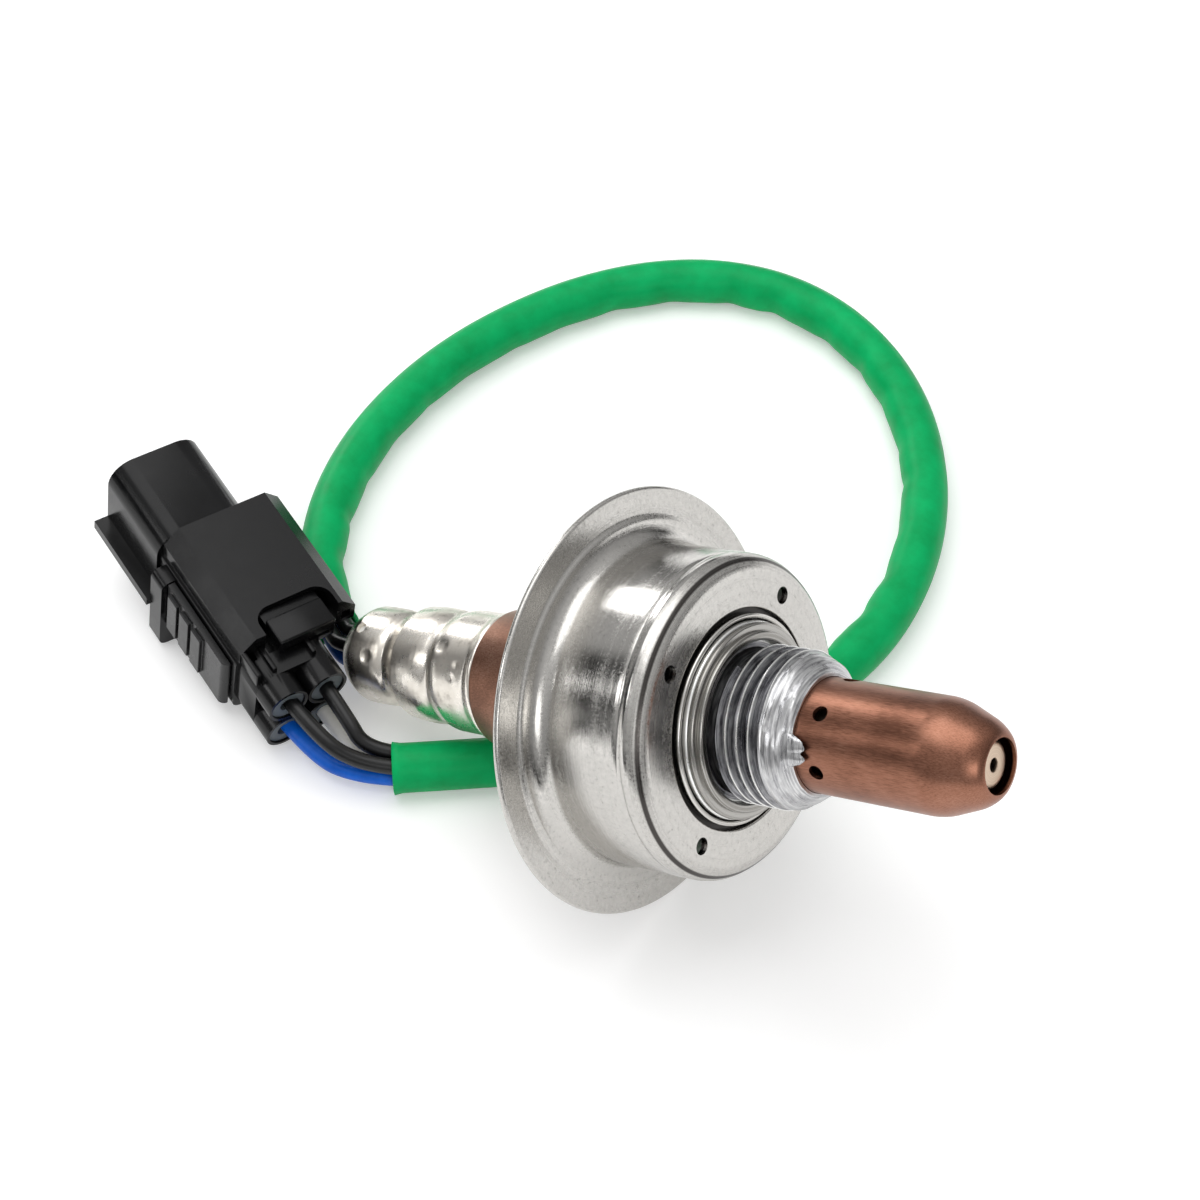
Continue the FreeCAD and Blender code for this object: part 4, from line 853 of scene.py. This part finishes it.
# %% CAD nodes that keep their own shape
KEPT = {
    "sensing_element": sensor_ceramic, "lower_insulator": fired_ceramic, "upper_insulator": fired_ceramic,
    "talc_ring": pressed_talc, "contact_holder": fired_ceramic, "contact_springs": spring_alloy,
    "crimp_terminals": spring_alloy, "vent_filter": filter_white, "wire_grommet": grommet_rubber,
    "wire_seals": seal_silicone, "terminal_pins": tinned_pins,
}
for node, material in KEPT.items():
    mesh = frame["nodes"][node].data
    mesh.materials.clear()
    mesh.materials.append(material)


# %% [markdown]
# ## Connector
#
# The connector's main form is in CAD, but a moulding never has a sharp edge. A copy of each node is
# merged, its flat triangles are dissolved, and every edge gets a small bevel, which catches the light.
# The wire end is carved into four round towers, one for each lead, and the latch gets its thick lip.

# %% The connector's own frame
PLUG_PLACE = (-42.3, -11.9, 5.60929)
PLUG_HEADING = -22.6
PLUG_TILT = 9.0
PLUG_LEAN = 5.0
on_plug = (Matrix.Translation(Vector(PLUG_PLACE) * MM)
           @ Matrix.Rotation(math.radians(PLUG_HEADING), 4, "Z")
           @ Matrix.Rotation(math.radians(PLUG_TILT), 4, "Y")
           @ Matrix.Rotation(math.radians(-PLUG_LEAN), 4, "X")
           @ Matrix.Scale(MM, 4))


# %% Bevelled mouldings
def moulding(node):
    """A CAD node's form in the connector's frame and in millimetres, merged and with whole flat faces."""
    bm = bmesh.new()
    bm.from_mesh(frame["nodes"][node].data)
    bmesh.ops.transform(bm, matrix=on_plug.inverted(), verts=bm.verts)
    bmesh.ops.remove_doubles(bm, verts=bm.verts, dist=1e-3)
    bmesh.ops.dissolve_limit(bm, angle_limit=math.radians(1), use_dissolve_boundaries=False,
                             verts=bm.verts, edges=bm.edges)
    return bm


def moulded(bm, name, material, node, edge_mm):
    """A finished moulding whose sharp edges are softened by a bevel."""
    piece = finished(bm, name, material, node, matrix=on_plug, sharp=30)
    soften = piece.modifiers.new("moulded_edges", "BEVEL")
    soften.width = edge_mm * MM
    soften.segments = 3
    soften.limit_method = "ANGLE"
    soften.angle_limit = math.radians(32)
    soften.harden_normals = True
    return piece


# %% Wire towers, latch lever and ribs
WIRE_PITCH = 5.5
TOWER_RADIUS = 2.7
TOWER_LENGTH = 3.2
BLOCK_TOP = 5.45
LEVER_LOW = (-9.5, -0.9, 4.5)
LEVER_HIGH = (-5.6, 6.9, 7.75)

ways = [(y * WIRE_PITCH / 2, z * WIRE_PITCH / 2) for y in (-1, 1) for z in (-1, 1)]
between_towers = block((-TOWER_LENGTH, -6.0, -6.0), (1.0, 6.0, 6.0))
carve(between_towers, rods([((0.0, y, z), (1, 0, 0), TOWER_RADIUS, 20.0) for y, z in ways]))
housing_form = moulding("connector_housing")
carve(housing_form, between_towers)
lever = block(LEVER_LOW, LEVER_HIGH, 0.3)
slot_in_lever = block((-6.3, 0.0, 5.5), (-4.0, 6.0, 6.1))
carve(lever, slot_in_lever)
ribs = [block((-7.2, y - 0.3, BLOCK_TOP - 0.3), (-TOWER_LENGTH - 0.4, y + 0.3, BLOCK_TOP + 0.75), 0.12)
        for y in (-WIRE_PITCH / 2, WIRE_PITCH / 2)]
near_wall = block((-7.3, -5.45, BLOCK_TOP - 1.0), (-TOWER_LENGTH - 0.2, -4.75, BLOCK_TOP + 1.1), 0.15)
join(housing_form, lever, near_wall, *ribs)
plug = moulded(housing_form, "plug_housing", connector_black, "connector_housing", 0.22)
retainer = moulded(moulding("side_retainer"), "plug_retainer", retainer_black,
                   "side_retainer", 0.18)


# %% [markdown]
# ## Cover sleeve and leads
#
# Each lead is a smooth curve through the same route as its CAD tube. The green sleeve is a real
# hollow tube, open at both ends. Where it is bent tightly, its inner side creases, so the mesh is
# pressed in there in small waves. Both cut ends flare a little.

# %% Routes
SLEEVE_RADIUS = 3.1
SLEEVE_WALL = 0.5
LEAD_RADIUS = 1.0
SLEEVE_ROUTE = [
    (-48.8, 2.1), (-53.4, 5.9), (-58.3, 12.0), (-62.3, 20.3), (-64.8, 30.0), (-65.4, 40.8),
    (-63.9, 51.5), (-60.6, 61.6), (-56.0, 70.6), (-49.8, 78.3), (-42.2, 83.9), (-33.2, 86.8),
    (-23.7, 86.3), (-14.2, 82.6), (-5.2, 75.6), (2.3, 66.0), (7.3, 55.0), (9.7, 43.7),
    (9.2, 32.6), (5.6, 21.9), (-1.2, 11.7), (-9.9, 3.1), (-20.1, -5.0), (-29.3, -12.0),
]
LEAD_ROUTES = {
    "tail_lead_black_near": [
        (-23.71, -1.6, 14.77), (-44.06, -1.6, 5.75), (-48.22, 0.29, 4.13), (-53.16, 4.36, 4.13),
    ],
    "tail_lead_blue": [
        (-22.42, -1.6, 11.84), (-42.76, -1.6, 2.83), (-48.22, 0.29, 2.07), (-53.16, 4.36, 2.07),
    ],
    "tail_lead_black_far": [
        (-23.71, 1.6, 14.77), (-44.06, 1.6, 5.75), (-46.91, 1.88, 4.13), (-51.84, 5.95, 4.13),
    ],
    "tail_lead_white": [
        (-22.42, 1.6, 11.84), (-42.76, 1.6, 2.83), (-46.91, 1.88, 2.07), (-51.84, 5.95, 2.07),
    ],
    "plug_lead_black_near": [
        (-58.33, -7.93, 11.21), (-39.73, -15.68, 8.02), (-30.9, -14.52, 4.13), (-23.9, -9.19, 4.13),
    ],
    "plug_lead_blue": [
        (-59.31, -8.05, 5.8), (-40.71, -15.79, 2.61), (-30.9, -14.52, 2.07), (-23.9, -9.19, 2.07),
    ],
    "plug_lead_black_far": [
        (-56.3, -2.85, 10.74), (-37.69, -10.59, 7.55), (-32.15, -12.88, 4.13), (-25.15, -7.55, 4.13),
    ],
    "plug_lead_white": [
        (-57.27, -2.96, 5.33), (-38.67, -10.7, 2.13), (-32.15, -12.88, 2.07), (-25.15, -7.55, 2.07),
    ],
}


# %% A curve along a route
CURVE_STEPS = 24


def route_curve(name, points_mm, radius_mm):
    curve = bpy.data.curves.new(name, "CURVE")
    curve.dimensions = "3D"
    spline = curve.splines.new("NURBS")
    spline.points.add(len(points_mm) - 1)
    for point, place_mm in zip(spline.points, points_mm):
        point.co = (*(Vector(place_mm) * MM), 1.0)
    spline.order_u = 3
    spline.use_endpoint_u = True
    spline.resolution_u = CURVE_STEPS
    curve.bevel_depth = radius_mm * MM
    curve.bevel_resolution = 6
    curve.use_fill_caps = bool(radius_mm)
    return placed(name, curve)


def centre_line(points_mm):
    """The smooth line of a route, as points read from its curve."""
    guide = route_curve("guide", points_mm, 0.0)
    line = shape_of(guide)
    places = [vertex.co.copy() for vertex in line.vertices]
    bpy.data.objects.remove(guide)
    bpy.data.meshes.remove(line)
    return places


def length_of(line):
    return sum((b - a).length for a, b in zip(line, line[1:]))


# %% Green cover sleeve
CREASE_SPACING = 8.6
CREASE_DEPTH = 1.5
CREASE_DRIFT = 1.7
BEND_REACH = 12
SHARP_BEND = 40.0
FLARE = 0.07
FLARE_LENGTH = 1.4

sleeve_points = [(x, y, SLEEVE_RADIUS) for x, y in SLEEVE_ROUTE]
sleeve_line = centre_line(sleeve_points)
sleeve_length = length_of(sleeve_line)
blank = route_curve("blank_sleeve", sleeve_points, SLEEVE_RADIUS)
blank.data.use_fill_caps = False
sleeve_mesh = shape_of(blank)
bpy.data.objects.remove(blank)

tree_of_points = kdtree.KDTree(len(sleeve_line))
for index, place_on_line in enumerate(sleeve_line):
    tree_of_points.insert(place_on_line, index)
tree_of_points.balance()
travelled = [0.0]
for first, second in zip(sleeve_line, sleeve_line[1:]):
    travelled.append(travelled[-1] + (second - first).length)


def bend_at(index):
    """A vector towards the inside of the bend; its length is how sharp the bend is, in 1/metres."""
    low = max(index - BEND_REACH, 0)
    high = min(index + BEND_REACH, len(sleeve_line) - 1)
    if high - low < 2 * BEND_REACH:
        return Vector((0, 0, 0))
    into = (sleeve_line[index] - sleeve_line[low]).normalized()
    out = (sleeve_line[high] - sleeve_line[index]).normalized()
    return (out - into) / ((sleeve_line[high] - sleeve_line[low]).length / 2)


for vertex in sleeve_mesh.vertices:
    centre, index, _ = tree_of_points.find(vertex.co)
    outward = (vertex.co - centre).normalized()
    bend = bend_at(index)
    inside = max(0.0, outward.dot(bend)) / SHARP_BEND
    along = travelled[index] / MM
    drift = CREASE_DRIFT * noise.noise((along * 0.11, 0, 0))
    wave = 0.5 + 0.5 * math.sin(2 * math.pi * along / CREASE_SPACING + drift)
    vary = 0.35 + 0.65 * abs(noise.noise((along * 0.07, 3.0, 0)))
    press = CREASE_DEPTH * min(inside, 1.0) ** 1.5 * wave ** 2 * vary
    from_end = min(along, sleeve_length / MM - along)
    flare = FLARE * SLEEVE_RADIUS * max(0.0, 1 - from_end / FLARE_LENGTH) ** 2
    vertex.co += outward * (flare - press) * MM
    vertex.co.z = max(vertex.co.z, 0.0)
for face in sleeve_mesh.polygons:
    face.use_smooth = True
sleeve_mesh.materials.clear()
sleeve_mesh.materials.append(green_cover)
green_sleeve = placed("green_sleeve", sleeve_mesh)
wall = green_sleeve.modifiers.new("wall", "SOLIDIFY")
wall.thickness = SLEEVE_WALL * MM
wall.offset = -1.0
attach(green_sleeve, "root")
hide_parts("cover_sleeve")
print("sleeve length %.1f mm" % (sleeve_length / MM))

# %% Leads
LEAD_FINISH = {"black": (lead_black, "lead_black"), "blue": (lead_blue, "lead_blue"),
               "white": (lead_white, "lead_white")}
leads = {}
for node, points in LEAD_ROUTES.items():
    lead = route_curve(node + "_wire", points, LEAD_RADIUS)
    finish_material, slot_name = next(pair for colour, pair in LEAD_FINISH.items() if colour in node)
    lead.data.materials.append(finish_material)
    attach(lead, "root")
    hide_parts(node)
    leads[node] = (lead, points)

for node, (lead, points) in leads.items():
    length_of(centre_line(points))
